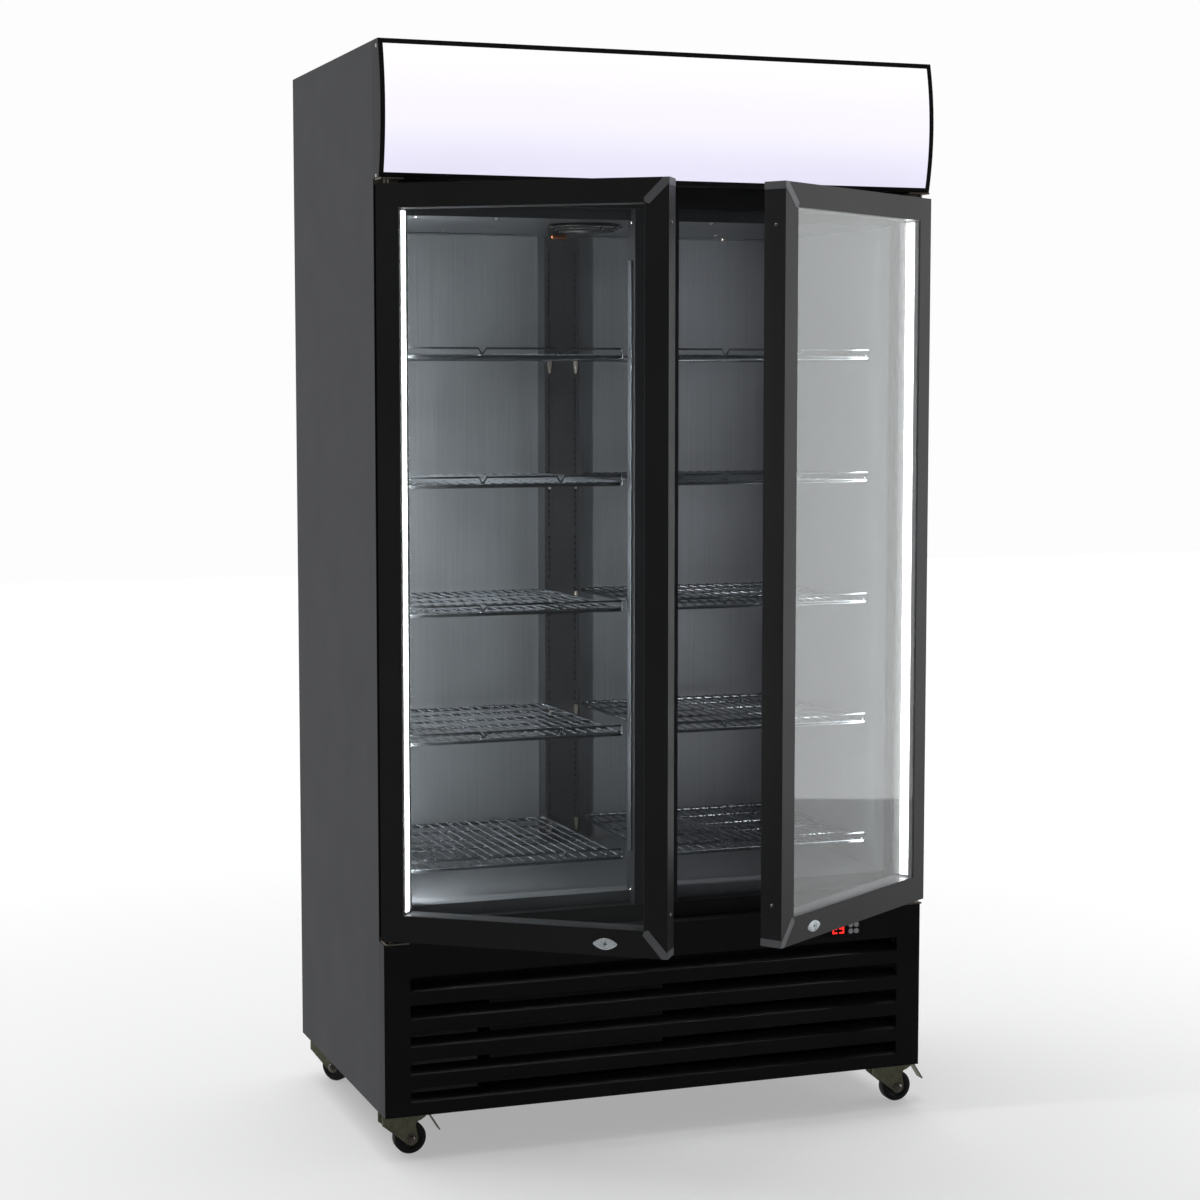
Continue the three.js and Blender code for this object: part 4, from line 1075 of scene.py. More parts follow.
@dataclass
class Door:
    """One hinged glass door.

    It is built in its own axes: X from its hinge edge to its free edge, Y from its front to its back,
    and Z up.

    Attributes:
        side: Which door it is.
        hinge: The frame's record of its hinge.
        stile: Width of its upright profile.
        foot_rail: Height of its bottom profile.
        head_rail: Height of its top profile.
        pivot_inset: Distance of the hinge line from the hinge edge.
        pane: Thickness of one pane.
        lens_thick: How far the lamp's lens stands off the stile.
        lens_setback: How far the lens stops short of the lamp's back.
        lamp_cap: Height of the cap on each end of the lamp.
        low: Lowest corner of its frame, in its own axes.
        high: Highest corner of its frame.
    """

    side: Side
    hinge: dict[str, Any]
    stile: float = 44 * MM
    foot_rail: float = 50 * MM
    head_rail: float = 44 * MM
    pivot_inset: float = 14 * MM
    pane: float = 3 * MM
    lens_thick: float = 1.7 * MM
    lens_setback: float = 6 * MM
    lamp_cap: float = 5 * MM
    low: np.ndarray = field(init=False)
    high: np.ndarray = field(init=False)

    def __post_init__(self) -> None:
        """Reads the door's size off its frame."""
        self.low, self.high = self.own_box(f"{self.body}_frame")

    @property
    def body(self) -> str:
        """The body that the door's pieces ride on, whose name starts the names of its nodes."""
        return f"door_{self.side.label}"

    def axes(self) -> tuple[np.ndarray, np.ndarray]:
        """Turn and shift that take the door's own axes to the frame's.

        Returns:
            A 3 x 3 matrix and a point.
        """
        angle = -math.radians(self.hinge["range_deg"][0]) * self.side.value
        cosine, sine = math.cos(angle), math.sin(angle)
        swing = np.array([[cosine, -sine, 0.0], [sine, cosine, 0.0], [0.0, 0.0, 1.0]])
        turn = swing @ np.diag([-self.side.value, 1.0, 1.0])
        pivot = np.array([*self.hinge["pos_m"][:2], 0.0])
        return turn, pivot - turn @ np.array([self.pivot_inset, 0.0, 0.0])

    def own_box(self, node: str) -> tuple[np.ndarray, np.ndarray]:
        """Measures one of the door's nodes in the door's own axes.

        Args:
            node: The node's name.

        Returns:
            Its lowest and highest corner.
        """
        turn, shift = self.axes()
        own = (node_points(node) - shift) @ turn
        return own.min(0), own.max(0)

    def opening(self) -> tuple[np.ndarray, np.ndarray]:
        """Measures the opening that the glass shows through.

        Returns:
            Its lowest and highest X and Z.
        """
        low = np.array([self.low[0] + self.stile, self.low[2] + self.foot_rail])
        high = np.array([self.high[0] - self.stile, self.high[2] - self.head_rail])
        return low, high

    def piece(self, name: str, shape: Shape, finish: Finish, extras: Extras = Extras()) -> None:
        """Puts a piece that is built in the door's own axes."""
        put(f"{self.body}_{name}", shape.moved(*self.axes()), finish, self.body, extras)

    def build(self) -> None:
        """Finishes the door's frame and gasket, and builds everything that the door carries."""
        dress(f"{self.body}_frame", DOOR_PROFILE, 1.2 * MM)
        dress(f"{self.body}_gasket", GASKET, 1.0 * MM)
        self.glazing()
        self.reveal()
        self.lamp()
        self.corners()
        self.edge_screws()
        self.escutcheon()

    def glazing(self) -> None:
        """Two float panes held apart by a spacer bar."""
        node = f"{self.body}_glass"
        low, high = self.own_box(node)
        panes = boxes(
            [low, [low[0], high[1] - self.pane, low[2]]],
            [[high[0], low[1] + self.pane, high[2]], high],
        )
        self.piece("panes", panes, GLASS, Extras(replaces=(node,), slot="door_glass"))
        seat = 0.05 * MM
        front, back = low[1] + self.pane + seat, high[1] - self.pane - seat
        outer, inner = 2 * MM, 9.4 * MM
        bar = [(outer, front), (inner, front), (inner, back), (outer, back)]
        self.piece("spacer", mitred_ring((low[0], low[2]), (high[0], high[2]), bar), SPACER)

    def reveal(self) -> None:
        """A thin grey lining round the inside of the opening, from the door's face to its back."""
        low, high = self.opening()
        front, back = self.low[1] + 0.8 * MM, self.high[1] - 0.2 * MM
        thick = 0.6 * MM
        lining = [(HAIR, front), (thick, front), (thick, back), (HAIR, back)]
        # The lining's grey is a painted highlight: it stands for the reveal's faces catching the light.
        self.piece("reveal_lining", mitred_ring(low, high, lining), REVEAL_PAINTED_HIGHLIGHT)

    def lamp(self) -> None:
        """The opal lens of the lamp on the hinge stile, with its white end caps."""
        node = f"led_lamp_{self.side.label}"
        low, high = self.own_box(node)
        seat, edge = 0.1 * MM, 0.7 * MM
        outline = rounded_rectangle(
            (low[0] + seat, low[1]), (low[0] + self.lens_thick, high[1] - self.lens_setback), edge
        )
        foot, head = low[2] + self.lamp_cap, high[2] - self.lamp_cap
        lens = prism(outline, foot, head, "xy")
        self.piece("lamp_lens", lens, LAMP, Extras(replaces=(node,), slot="lamp_lens"))
        caps = merged([
            prism(outline, low[2], foot - seat, "xy"), prism(outline, head + seat, high[2], "xy"),
        ])
        self.piece("lamp_caps", caps, WHITE_CAP)

    def corners(self) -> None:
        """Cast corner keys: a strip down each mitre of the free edge and a cap over the stile's end.

        A strip starts at the door's corner as wide as the cap, and ends bluntly just short of the glass.
        """
        free, front, back = self.high[0], self.low[1], self.high[1]
        thick, half, cap = 0.5 * MM, 5.2 * MM, 14 * MM
        reach = 0.94
        parts = []
        for end, rail, way in ((self.high[2], self.head_rail, -1), (self.low[2], self.foot_rail, 1)):
            inner_x, inner_z = free - reach * self.stile, end + way * reach * rail
            strip = [
                (free + thick, end),
                (free + thick, end + way * 2 * half),
                (inner_x + half, inner_z + way * half),
                (inner_x - 0.5 * half, inner_z + way * 0.4 * half),
                (inner_x - half, inner_z - way * half),
                (free - 2 * half, end),
            ]
            parts.append(prism(strip, front - thick, front - HAIR, "xz"))
            cap_low, cap_high = sorted((end, end + way * cap))
            parts.append(boxes([free + HAIR, front - thick, cap_low], [free + thick, back, cap_high]))
        self.piece("corner_keys", merged(parts), CORNER_CAP, Extras(bevel=0.25 * MM))

    def edge_screws(self) -> None:
        """Two screws in the free edge that pull the corner keys tight."""
        middle = self.low[1] + 0.45 * (self.high[1] - self.low[1])
        inset = 78 * MM
        seats = [[self.high[0], middle, z] for z in (self.high[2] - inset, self.low[2] + inset)]
        self.piece("edge_screws", screws(seats, (1.0, 0.0, 0.0), 3.6 * MM), BOLT_STEEL)

    def escutcheon(self) -> None:
        """An eye-shaped chrome plate round the lock, domed towards its middle, and the key's slit.

        The eye is an ellipse whose height shrinks towards its ends, there by 42 per cent. Each ring of
        the dome lies between the eye and the hole for the lock.
        """
        lock = f"lock_cylinder_{self.side.label}"
        # The lock and its plate get a pale, mostly matt chrome colour: a painted reflection.
        dress(lock, LOCK_PAINTED_REFLECTION, 0.4 * MM)
        low, high = self.own_box(lock)
        centre = (low + high) / 2
        hole = (high[2] - low[2]) / 2 + 0.25 * MM
        across, up = circle(48).T
        eye_x, eye_z = 23 * MM * across, 10.8 * MM * up * (1 - 0.42 * across**2)
        rings = []
        for share, stand in ((1.0, 0.02), (1.0, 0.7), (0.93, 1.3), (0.5, 2.1), (0.0, 2.3), (0.0, 0.02)):
            x = share * eye_x + (1 - share) * hole * across
            z = share * eye_z + (1 - share) * hole * up
            depth = np.full_like(x, self.low[1] - stand * MM)
            rings.append(np.stack([centre[0] + x, depth, centre[2] + z], -1))
        self.piece("lock_plate", lofted(np.stack(rings), closed=True), LOCK_PAINTED_REFLECTION)
        long, thick, proud, deep = 4.2 * MM, 0.8 * MM, 0.12 * MM, 0.2 * MM
        slit = boxes(
            [centre[0] - long, low[1] - proud, centre[2] - thick],
            [centre[0] + long, low[1] + deep, centre[2] + thick],
        )
        put(f"{lock}_slit", slit.moved(*self.axes()), BLACK_PLASTIC, f"lock_{self.side.label}")


# ---- Shelves ----


@dataclass
class WireShelf:
    """A welded wire shelf: a rim of thick rod, thin rods from front to back and a raised front wire.

    Attributes:
        side: Which bay it's in.
        level: Its place, counted from the top.
        notches: Places of the raised wire's notches from left to right, as shares of the width.
        rim: Radius of the rim's rod.
        thin: Radius of a thin rod.
        bar: Radius of a bar under the thin rods.
        lip: Radius of the raised wire.
        corner: Radius of the rim's corners.
        rods_across: Number of thin rods.
        bars: Number of bars under them.
    """

    side: Side
    level: int
    notches: tuple[float, ...]
    rim: float = 4.2 * MM
    thin: float = 1.5 * MM
    bar: float = 2.6 * MM
    lip: float = 2.0 * MM
    corner: float = 9 * MM
    rods_across: int = 21
    bars: int = 4

    def build(self) -> None:
        """Builds the shelf in place of its frame node."""
        node = f"shelf_{self.side.label}_{self.level}"
        low, high = span(node)
        low[:2] += self.rim
        high[:2] -= self.rim
        middle = low[2] + self.rim
        deck = middle + self.rim + 0.4 * self.thin
        outline = rounded_rectangle(low[:2], high[:2], self.corner)
        loop = np.column_stack([outline, np.full(len(outline), middle)])
        shape = merged([
            wire(loop, self.rim, (0.0, 0.0, 1.0), 12, True),
            self.grid(low, high, deck),
            self.raised_wire(low, high, middle, deck),
        ])
        put(f"{node}_wires", shape, WIRE_CHROME, "cabinet", Extras(replaces=(node,), slot="shelf_wire"))

    def grid(self, low: np.ndarray, high: np.ndarray, deck: float) -> Shape:
        """The thin rods from front to back, and the bars that they are welded to.

        Args:
            low: Lowest X and Y of the rim's middle line.
            high: Highest X and Y of it.
            deck: Height of the thin rods.

        Returns:
            Rods and bars in one shape.
        """
        x = np.linspace(low[0] + self.corner, high[0] - self.corner, self.rods_across)
        level = np.full_like(x, deck)
        thin = rods(
            np.stack([x, np.full_like(x, low[1]), level], -1),
            np.stack([x, np.full_like(x, high[1]), level], -1), self.thin, 6,
        )
        y = np.linspace(low[1], high[1], self.bars + 2)[1:-1]
        under = np.full_like(y, deck - self.thin - 2.4 * MM)
        bars = rods(
            np.stack([np.full_like(y, low[0]), y, under], -1),
            np.stack([np.full_like(y, high[0]), y, under], -1), self.bar, 8,
        )
        return merged([thin, bars])

    def raised_wire(self, low: np.ndarray, high: np.ndarray, middle: float, deck: float) -> Shape:
        """The wire over the front edge, which dips to the deck in V-shaped notches.

        Args:
            low: Lowest X and Y of the rim's middle line.
            high: Highest X of it, and the shelf's highest Z.
            middle: Height of the rim's middle line.
            deck: Height of the thin rods.

        Returns:
            A closed tube.
        """
        left, right = low[0], high[0]
        rise, dip = high[2] - self.lip, deck + self.thin
        mouth, point = 8 * MM, 1.5 * MM
        line = [(left + 2 * MM, middle), (left + 4 * MM, rise)]
        for share in self.notches:
            at = left + share * (right - left)
            line += [(at - mouth, rise), (at - point, dip), (at + point, dip), (at + mouth, rise)]
        line += [(right - 4 * MM, rise), (right - 2 * MM, middle)]
        x, z = np.array(line).T
        path = np.stack([x, np.full_like(x, low[1] + 0.5 * MM), z], -1)
        return wire(path, self.lip, (0.0, 1.0, 0.0))


# ---- Interior ----


@dataclass
class Interior:
    """What stands inside the liner: the posts, the shelf clips, the ceiling's fittings and the coil.

    Attributes:
        datum: The planes of the cabinet.
        screw: Radius of the front post's screws.
        cover_screw: Radius of the ceiling cover's screws.
    """

    datum: Datum
    screw: float = 3.6 * MM
    cover_screw: float = 3.4 * MM

    def build(self) -> None:
        """Builds every fitting."""
        self.rear_post()
        self.shelf_clips()
        self.fan_guard()
        self.sensor()
        self.post_channel()
        self.fitting_screws()
        self.coil()

    def rear_post(self) -> None:
        """The folded post between the bays, struck with two columns of holes, every eighth left blind."""
        low, high = span("pilaster_rear_centre")
        sheet, inset = 1.4 * MM, 0.8 * MM
        edge, wide, tall, pitch, end = 7 * MM, 5 * MM, 6 * MM, 14 * MM, 15 * MM
        x = np.array([
            low[0], low[0], low[0] + edge, low[0] + edge + wide,
            high[0] - edge - wide, high[0] - edge, high[0], high[0],
        ])
        x -= inset * np.sign(x - x.mean())
        y = np.full_like(x, low[1] + inset)
        y[[0, -1]] = high[1]
        count = int((high[2] - low[2] - 2 * end) / pitch)
        starts = low[2] + end + pitch * np.arange(count)
        heights = np.concatenate([[low[2]], np.stack([starts, starts + tall], -1).ravel(), [high[2]]])
        number = np.arange(len(heights) - 1)
        holes = (number % 2 == 1) & (number // 2 % 8 != 7)
        skin = perforated(np.stack([x, y], -1), heights, (2, 4), holes)
        extras = Extras(thickness=sheet, replaces=("pilaster_rear_centre",), slot="liner_metal")
        put("rear_post_sheet", skin, POST_METAL, "cabinet", extras)
        side, front, back = 3 * MM, low[1] + 12 * MM, low[1] + 14 * MM
        backing = boxes([low[0] + side, front, low[2]], [high[0] - side, back, high[2]])
        put("rear_post_backing", backing, BLACK_PLASTIC, "cabinet")

    def shelf_clips(self) -> None:
        """Bent clips that hang in the rear post's holes under the shelves' corners, tapered downwards."""
        post_low, post_high = span("pilaster_rear_centre")
        inset, half, tip, shoulder, long = 10 * MM, 3.5 * MM, 1.2 * MM, 9 * MM, 26 * MM
        parts = []
        for side in Side:
            x = post_low[0] + inset if side is Side.LEFT else post_high[0] - inset
            for level in SHELF_LEVELS:
                low, high = span(f"shelf_{side.label}_{level}")
                top = low[2] + 1 * MM
                outline = [
                    (x - half, top), (x + half, top), (x + half, top - shoulder),
                    (x + tip, top - long), (x - tip, top - long), (x - half, top - shoulder),
                ]
                front = min(high[1] + 2 * MM, post_low[1] - 1.2 * MM) - 6 * MM
                parts.append(prism(outline, front, post_low[1] - 0.1 * MM, "xz"))
        put("shelf_clips", merged(parts), HINGE_STEEL, "cabinet", Extras(bevel=0.4 * MM))

    def fan_guard(self) -> None:
        """A guard under the fan in the ceiling: wire rings on four cranked spokes, round a centre cap."""
        low, high = span("evaporator_fan")
        cover = span("evaporator_cover")[0][2]
        x, y = ((low + high) / 2)[:2]
        reach, under, knee = (high[0] - low[0]) / 2 + 6 * MM, cover - 15 * MM, 0.76
        parts = []
        for share in np.linspace(0.2, 1.0, 8):
            loop = circle(44, share * reach)
            rise = 0.8 * max(0.0, (share - 0.75) * 3.2)
            height = np.full(len(loop), under + (cover - under) * rise)
            path = np.column_stack([x + loop[:, 0], y + loop[:, 1], height])
            parts.append(wire(path, 1.2 * MM, (0.0, 0.0, 1.0), 6, True))
        level = under + 2 * MM
        for out_x, out_y in circle(4, reach, math.pi / 4):
            bend = [x + knee * out_x, y + knee * out_y, level]
            parts.append(rods([x, y, level], bend, 1.8 * MM))
            parts.append(rods(bend, [x + out_x, y + out_y, cover - 0.5 * MM], 1.8 * MM))
        cap = np.array([[0.0, -3.0], [17.0, -3.0], [20.0, -1.0], [20.0, 2.0], [0.0, 2.0]])
        parts.append(lathe(cap * MM, (x, y, under), (0.0, 0.0, 1.0), 32))
        put("fan_guard", merged(parts), BLACK_PLASTIC, "cabinet")

    def sensor(self) -> None:
        """The thermostat's bulb on a bracket under the ceiling, and a small probe in the other bay."""
        top = span("evaporator_cover")[0][2]
        x, y, _ = self.datum.at(-0.110, 0.300, 0.0)
        half, drop, thick, flange = 20 * MM, 26 * MM, 1.4 * MM, 14 * MM
        seat = top - 0.2 * MM
        bracket = boxes(
            [[x - half, y, top - drop], [x - half, y - flange, top - 1.6 * MM]],
            [[x + half, y + thick, seat], [x + half, y, seat]],
        )
        put("sensor_bracket", bracket, BLACK_PLASTIC, "cabinet", Extras(bevel=0.5 * MM))
        reach, front, height = 16 * MM, y - 6 * MM, top - 20 * MM
        bulb = rods([x - reach, front, height], [x + reach, front, height], 4.5 * MM, 16)
        put("sensor_bulb", bulb, COPPER, "cabinet", Extras(bevel=1.0 * MM))
        probe_x, probe_y, _ = self.datum.at(0.368, 0.585, 0.0)
        dome = np.array([[0.0, -7.0], [2.5, -6.4], [4.6, -4.0], [5.0, 0.0], [0.0, 0.0]])
        probe = lathe(dome * MM, (probe_x, probe_y, top), (0.0, 0.0, 1.0), 20)
        put("ceiling_probe", probe, BOLT_STEEL, "cabinet")

    def post_channel(self) -> None:
        """A bright cable channel up the left face of the front post."""
        low, high = span("centre_mullion")
        deep = high[1] - low[1]
        foot, head = self.datum.base + 0.47, self.datum.base + 1.615
        channel = boxes(
            [low[0] - 3.5 * MM, low[1] + 0.3 * deep, foot], [low[0] - 0.05 * MM, low[1] + 0.72 * deep, head]
        )
        put("post_channel", channel, COVER_METAL, "cabinet", Extras(bevel=0.9 * MM))

    def fitting_screws(self) -> None:
        """Screws that hold the front post and the ceiling cover."""
        low, high = span("centre_mullion")
        middle = (low + high) / 2
        beside = [[low[0], middle[1], self.datum.base + z] for z in (1.688, 0.392)]
        put("post_side_screws", screws(beside, (-1.0, 0.0, 0.0), self.screw), BOLT_STEEL, "cabinet")
        ahead = [[middle[0], low[1], self.datum.base + z] for z in (1.687, 0.399)]
        put("post_front_screws", screws(ahead, (0.0, -1.0, 0.0), self.screw), BOLT_STEEL, "cabinet")
        cover = span("evaporator_cover")[0]
        x = self.datum.middle + np.array([-0.46, -0.30, 0.14, 0.30, 0.46])
        seats = np.concatenate([
            np.column_stack([x, np.full_like(x, cover[1] + row), np.full_like(x, cover[2])])
            for row in (0.04, 0.40)
        ])
        put("cover_screws", screws(seats, (0.0, 0.0, -1.0), self.cover_screw), BOLT_STEEL, "cabinet")

    def coil(self) -> None:
        """The finned cooling coil above the ceiling cover: sheet fins threaded on rows of tube."""
        foot = span("evaporator_cover")[1][2] + 30 * MM
        head = span("inner_liner")[1][2] - 25 * MM
        front, back = self.datum.front + 0.36, self.datum.front + 0.56
        left, right = self.datum.middle - 0.30, self.datum.middle + 0.30
        pitch, fin, tube, overhang, margin = 6 * MM, 0.4 * MM, 4.8 * MM, 20 * MM, 25 * MM
        x = np.arange(left, right, pitch)
        fins = boxes(
            np.stack([x, np.full_like(x, front), np.full_like(x, foot)], -1),
            np.stack([x + fin, np.full_like(x, back), np.full_like(x, head)], -1),
        )
        put("coil_fins", fins, FIN_STOCK, "cabinet")
        rows = foot + (head - foot) * np.array([0.25, 0.5, 0.75])
        seats = np.array([[y, z] for z in rows for y in np.linspace(front + margin, back - margin, 5)])
        starts = np.column_stack([np.full(len(seats), left - overhang), seats])
        ends = np.column_stack([np.full(len(seats), right + overhang), seats])
        put("coil_tubes", rods(starts, ends, tube, 10), COPPER, "cabinet")


# ---- Case ----


@dataclass
class CaseShell:
    """The painted case: its screws, the lit header, the controller and the machine compartment.

    Attributes:
        datum: The planes of the cabinet.
        digits: The segments that each of the controller's figures lights.
    """

    datum: Datum
    digits: tuple[str, ...] = ("abged", "abgcd")

    def build(self) -> None:
        """Builds what is fixed to the case."""
        self.sign()
        self.side_screws()
        self.controller()
        self.back_screws()
        self.baffle()
        self.condenser()
        self.compressor()

    def sign(self) -> None:
        """The bowed opal panel of the header, drawn to an arc.

        The arc's radius is the square of half the chord plus the square of the bulge, over twice the
        bulge.
        """
        low, high = span("header_sign_panel")
        points = node_points("header_sign_panel")
        thick, steps = 3 * MM, 28
        height = np.linspace(low[2], high[2], steps + 1)
        edge = points[points[:, 2] - low[2] < 1 * MM][:, 1].min()
        bulge, half_chord = edge - low[1], (high[2] - low[2]) / 2
        radius = (half_chord**2 + bulge**2) / (2 * bulge)
        off = height - (low[2] + half_chord)
        depth = edge + (radius - bulge) - np.sqrt(radius**2 - off**2)
        face = np.stack([depth, height], -1)
        outline = np.concatenate([face, face[::-1] + [thick, 0.0]])
        glow = Glow("lit_opal_sign", SIGN_TONES, low[2] + 8 * MM, high[2] - 14 * MM)
        extras = Extras(replaces=("header_sign_panel",), slot="sign_panel")
        put("header_sign_skin", prism(outline, low[0], high[0], "yz"), glow, "cabinet", extras)

    def side_screws(self) -> None:
        """White-capped screws down the ends of the header."""
        low, high = span("header_housing")
        for side in Side:
            x = (low[0] if side is Side.LEFT else high[0]) - self.datum.middle
            seats = [self.datum.at(x, y, z) for y, z in ((0.006, 1.992), (0.013, 1.759))]
            heads = screws(seats, (float(side.value), 0.0, 0.0), 3.2 * MM)
            put(f"header_screws_{side.label}", heads, WHITE_CAP, "cabinet")

    def controller(self) -> None:
        """The controller's smoked window with its red figures, set in a moulded rim."""
        dress("controller_housing", BLACK_PLASTIC, 0.6 * MM)
        low, high = span("controller_housing")
        face, rim, wide = low[1], 3 * MM, 56 * MM
        outline = rounded_rectangle((low[0] + rim, low[2] + rim), (low[0] + wide, high[2] - rim), 3 * MM)
        window = prism(outline, face - 0.45 * MM, face - HAIR, "xz")
        put("controller_window", window, SMOKED_WINDOW, "cabinet")
        first, pitch, middle = low[0] + 29 * MM, 15 * MM, (high[2] + low[2]) / 2
        figures = merged(
            segments((first + pitch * place, middle), 11 * MM, 21 * MM, lit, face - 0.75 * MM)
            for place, lit in enumerate(self.digits)
        )
        put("controller_digits", figures, RED_DIGIT, "cabinet")

    def back_screws(self) -> None:
        """Screws round the edge of the back panel."""
        low, high = span("back_panel")
        count, side, end = 6, 12 * MM, 14 * MM
        x = np.linspace(low[0] + 40 * MM, high[0] - 40 * MM, count)
        z = np.linspace(low[2] + 0.2, high[2] - 0.2, count)
        back = np.full(count, high[1])
        seats = np.concatenate(
            [np.column_stack([x, back, np.full(count, row)]) for row in (high[2] - end, low[2] + end)]
            + [np.column_stack([np.full(count, row), back, z]) for row in (low[0] + side, high[0] - side)]
        )
        put("back_screws", screws(seats, (0.0, 1.0, 0.0), 4.0 * MM), BOLT_STEEL, "cabinet")

    def baffle(self) -> None:
        """Black sheets that close the machine compartment: a roof, and an apron down to the condenser."""
        grille_back, back = span("front_grille")[1][1], span("back_panel")[0][1]
        left, right = span("side_panel_left")[1][0], span("side_panel_right")[0][0]
        condenser_low, condenser_high = span("condenser_unit")
        gap, sheet, joint = 3 * MM, 1.2 * MM, 0.1 * MM
        top = span("insulation_foam")[0][2] - 0.6 * MM
        apron, foot = (condenser_low[1] + condenser_high[1]) / 2, condenser_high[2] + gap
        sheets = boxes(
            [[left + gap, grille_back + gap, top - sheet], [left + gap, apron, foot]],
            [[right - gap, back - gap, top], [right - gap, apron + sheet, top - sheet - joint]],
        )
        put("machine_roof", sheets, BLACK_PAINT, "cabinet")

    def condenser(self) -> None:
        """The front edges of the condenser's thin fins."""
        low, high = span("condenser_unit")
        pitch, fin, margin = 5 * MM, 0.6 * MM, 6 * MM
        x = np.arange(low[0] + margin, high[0] - margin, pitch)
        front, back = np.full_like(x, low[1] - 1.4 * MM), np.full_like(x, low[1] - 0.1 * MM)
        fins = boxes(
            np.stack([x, front, np.full_like(x, low[2] + margin)], -1),
            np.stack([x + fin, back, np.full_like(x, high[2] - margin)], -1),
        )
        put("condenser_fins", fins, FIN_STOCK, "cabinet")

    def compressor(self) -> None:
        """The compressor's deep-drawn pot, with the weld round its middle and its suction pipe."""
        low, high = span("compressor")
        x, y, _ = (low + high) / 2
        radius = min(high[0] - low[0], high[1] - low[1]) / 2
        dress("compressor", CASE_PAINT, 1.5 * MM)
        inner, outer, half, lip = radius + 0.1 * MM, radius + 2.2 * MM, 2.0 * MM, 1.4 * MM
        seam = [(inner, -half), (outer, -lip), (outer, lip), (inner, half), (inner, -half)]
        weld = lathe(seam, (x, y, low[2] + 0.55 * (high[2] - low[2])), (0.0, 0.0, 1.0), 48)
        put("compressor_seam", weld, CASE_PAINT, "cabinet")
        start = np.array([x - 30 * MM, y + 10 * MM, high[2] - 12 * MM])
        straight, bend, run = 30 * MM, 30 * MM, 140 * MM
        angle = np.linspace(math.pi, math.pi / 2, 9)
        elbow = bend * np.stack([0 * angle, np.cos(angle) + 1, np.sin(angle)], -1)
        end = start + [0.0, run, straight + bend]
        path = np.concatenate([[start], start + [0.0, 0.0, straight] + elbow, [end]])
        put("suction_pipe", wire(path, 4 * MM, (1.0, 0.0, 0.0), 12), COPPER, "cabinet")


def segments(middle: Sequence[float], width: float, height: float, lit: str, face: float) -> Shape:
    """A seven-segment figure, its segments lettered a to g clockwise from the top.

    Args:
        middle: X and Z of its middle.
        width: Width over all.
        height: Height over all.
        lit: Letters of the lit segments.
        face: Y of its face.

    Returns:
        The lit segments, each a hair in front of the one before.
    """
    bar, gap, step, thick = 0.17 * width, 0.25 * MM, 0.01 * MM, 0.25 * MM
    x, z = width / 2, height / 2
    places = {
        "a": ((-x, z - 2 * bar), (x, z)),
        "b": ((x - 2 * bar, 0.0), (x, z)),
        "c": ((x - 2 * bar, -z), (x, 0.0)),
        "d": ((-x, -z), (x, -z + 2 * bar)),
        "e": ((-x, -z), (-x + 2 * bar, 0.0)),
        "f": ((-x, 0.0), (-x + 2 * bar, z)),
        "g": ((-x, -bar), (x, bar)),
    }
    parts = []
    for number, letter in enumerate(lit):
        low, high = places[letter]
        parts.append(boxes(
            [middle[0] + low[0] + gap, face - step * number, middle[1] + low[1] + gap],
            [middle[0] + high[0] - gap, face + thick, middle[1] + high[1] - gap],
        ))
    return merged(parts)


# ---- Castors ----


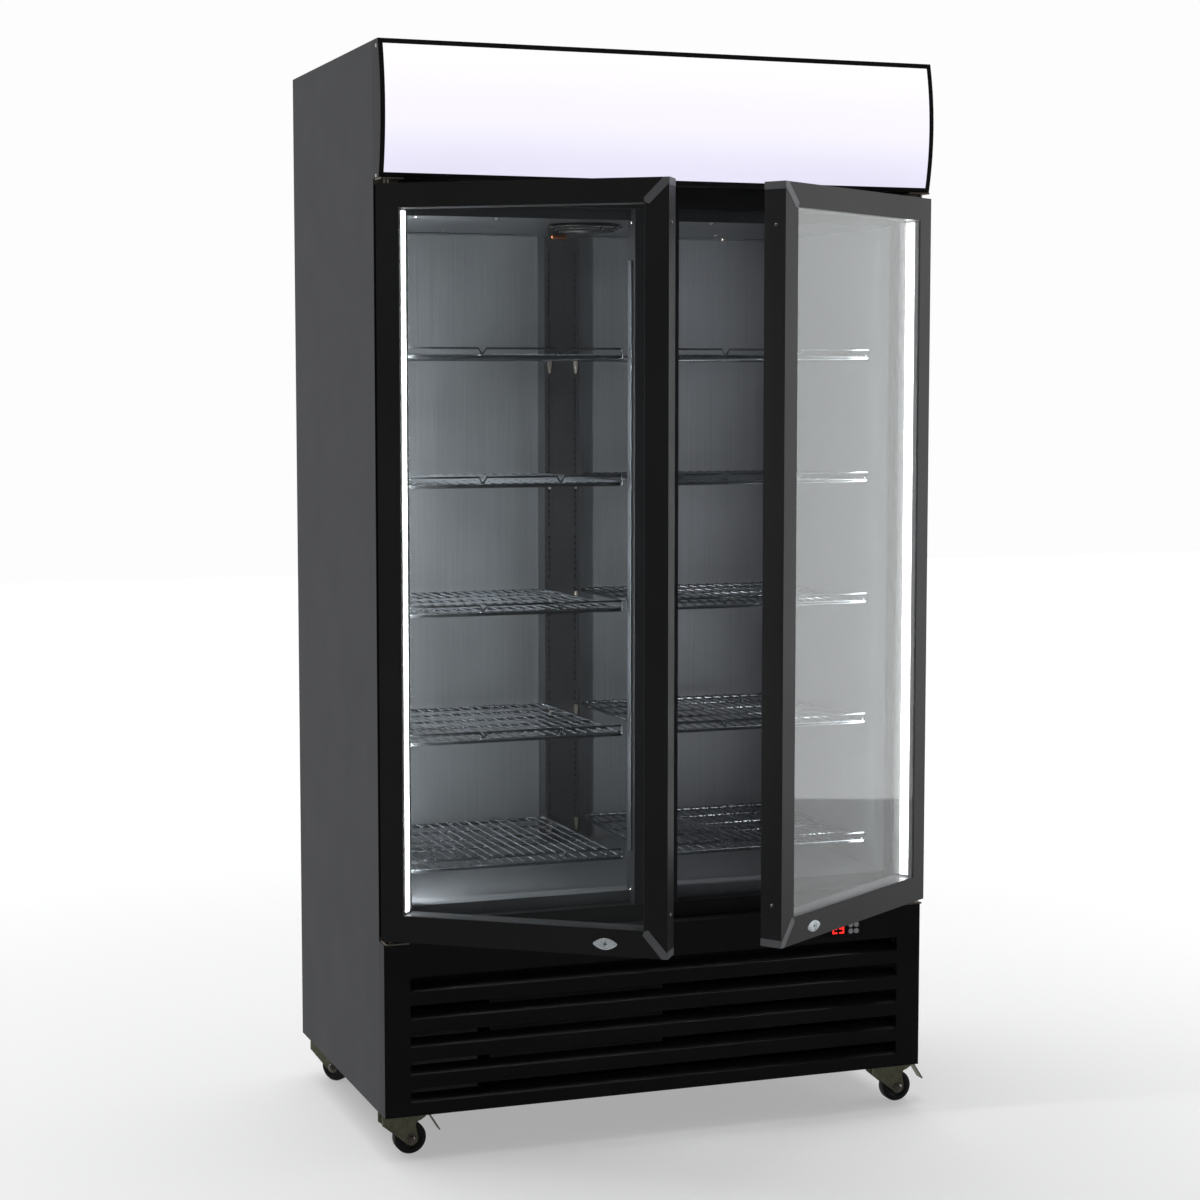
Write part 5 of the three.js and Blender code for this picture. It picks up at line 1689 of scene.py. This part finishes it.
@dataclass
class Castor:
    """A swivel castor: its fork, its wheel, its axle bolt and its ball race.

    Attributes:
        place: Which corner it stands at, such as front_left.
        joints: The frame's joints by name.
        half: Half the width of the tyre.
        shoulder: Radius of the tyre's shoulders.
        bore: Radius of the hub's bore.
    """

    place: str
    joints: dict[str, dict[str, Any]]
    half: float = 12 * MM
    shoulder: float = 5 * MM
    bore: float = 6.2 * MM

    def build(self) -> None:
        """Builds what the castor carries."""
        dress(f"castor_fork_{self.place}", ZINC, 0.5 * MM)
        self.wheel()
        self.bolt()
        self.top_race()

    def axle(self) -> tuple[np.ndarray, np.ndarray]:
        """Middle of the wheel and the direction of its axle."""
        roll = self.joints[f"wheel_{self.place}_roll"]
        return np.array(roll["pos_m"]), np.array(roll["axis"], float)

    def about_axle(self, node: str) -> tuple[np.ndarray, np.ndarray]:
        """Measures a node's corners about the axle.

        Args:
            node: The node's name.

        Returns:
            How far each corner is along the axle, and how far from it.
        """
        centre, axis = self.axle()
        away = node_points(node) - centre
        along = away @ axis
        return along, np.linalg.norm(away - along[:, None] * axis, axis=1)

    def wheel(self) -> None:
        """A moulded tyre with rounded shoulders on a dished core."""
        centre, axis = self.axle()
        node = f"castor_wheel_{self.place}"
        along, out = self.about_axle(node)
        radius, hub, half = out.max(), np.abs(along).max(), self.half
        turn = np.radians(np.linspace(-78, 78, 13))
        flank = (half - self.shoulder) * np.sign(turn)
        crown = np.stack([
            radius - self.shoulder + self.shoulder * np.cos(turn), flank + self.shoulder * np.sin(turn),
        ], -1)
        seat, side = radius - 10 * MM, half - 0.4 * MM
        tyre = np.concatenate([[[seat, -side]], crown, [[seat, side]], [[seat, -side]]])
        extras = Extras(replaces=(node,), slot="wheel_tread")
        put(f"wheel_tyre_{self.place}", lathe(tyre, centre, axis, 64), TYRE, f"wheel_{self.place}", extras)
        rim, boss, neck = radius - 9.6 * MM, 9.5 * MM, 10.5 * MM
        dish, web, lip = half - self.shoulder, half - 4 * MM, half - 1.2 * MM
        right = [(self.bore, hub), (boss, hub), (neck, dish), (rim - 3 * MM, web), (rim, lip)]
        left = [(out_at, -at) for out_at, at in right]
        core = np.array([*left, *right[::-1], left[0]])
        put(f"wheel_core_{self.place}", lathe(core, centre, axis, 48), WHEEL_CORE, f"wheel_{self.place}")

    def bolt(self) -> None:
        """A domed bolt head on a washer, on each side of the fork."""
        centre, axis = self.axle()
        along, out = self.about_axle(f"castor_fork_{self.place}")
        reach = along[out < 12 * MM].max()
        dome = MM * np.array([
            [0.0, 0.1], [8.6, 0.1], [8.6, 0.9], [6.4, 1.1], [6.2, 2.2], [4.9, 3.6], [2.6, 4.5], [0.0, 4.7],
        ])
        heads = merged(lathe(dome, centre + way * reach * axis, way * axis, 32) for way in (-1.0, 1.0))
        put(f"axle_bolt_{self.place}", heads, BOLT_STEEL, f"castor_{self.place}")

    def top_race(self) -> None:
        """The pressed ball race between the fork and the base, with its rivet."""
        x, y = self.joints[f"castor_{self.place}_swivel"]["pos_m"][:2]
        top = span(f"castor_fork_{self.place}")[1][2]
        dish = MM * np.array([[0.0, -5.4], [11.0, -5.4], [13.5, -3.4], [13.5, -2.7], [0.0, -2.7]])
        race = lathe(dish, (x, y, top), (0.0, 0.0, 1.0))
        put(f"swivel_rivet_{self.place}", race, ZINC, f"castor_{self.place}")


# ---- The whole object ----

PLACES = ("front_left", "front_right", "rear_left", "rear_right")
FRAME_FINISHES = (
    (CASE_PAINT, "side_panel_left side_panel_right top_panel back_panel"),
    (BLACK_PAINT, "base_frame front_grille header_housing front_frame"),
    (LINER_METAL, "inner_liner"),
    (COVER_METAL, "evaporator_cover"),
    (POST_METAL, "centre_mullion pilaster_side_left pilaster_side_right"),
    (FOAM, "insulation_foam"),
    (BLACK_PLASTIC, "condenser_fan cord_inlet evaporator_fan"),
    (GREY_BUTTON, "controller_button_1 controller_button_2 controller_button_3 controller_button_4"),
    (FIN_STOCK, "condenser_unit"),
    (HINGE_STEEL, "hinge_top_left hinge_top_right hinge_bottom_left hinge_bottom_right"),
    (ZINC, "brake_pedal_front_left brake_pedal_front_right"),
)


def dress_frame() -> None:
    """Gives the frame nodes that no class dresses the finish of their material."""
    for finish, nodes in FRAME_FINISHES:
        for node in nodes.split():
            dress(node, finish)


def main() -> None:
    """Builds the scene."""
    logging.basicConfig(level=logging.INFO, format="%(levelname)s %(message)s")
    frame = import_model()
    dress_frame()
    joints = {joint["name"]: joint for joint in frame["joints"]}
    for side in Side:
        Door(side, joints[f"door_{side.label}_hinge"]).build()
        for level in SHELF_LEVELS:
            WireShelf(side, level, SHELF_NOTCHES[side]).build()
    datum = Datum.from_frame()
    Interior(datum).build()
    CaseShell(datum).build()
    for place in PLACES:
        Castor(place, joints).build()
    Studio(datum).build()


if __name__ == "__main__":
    main()
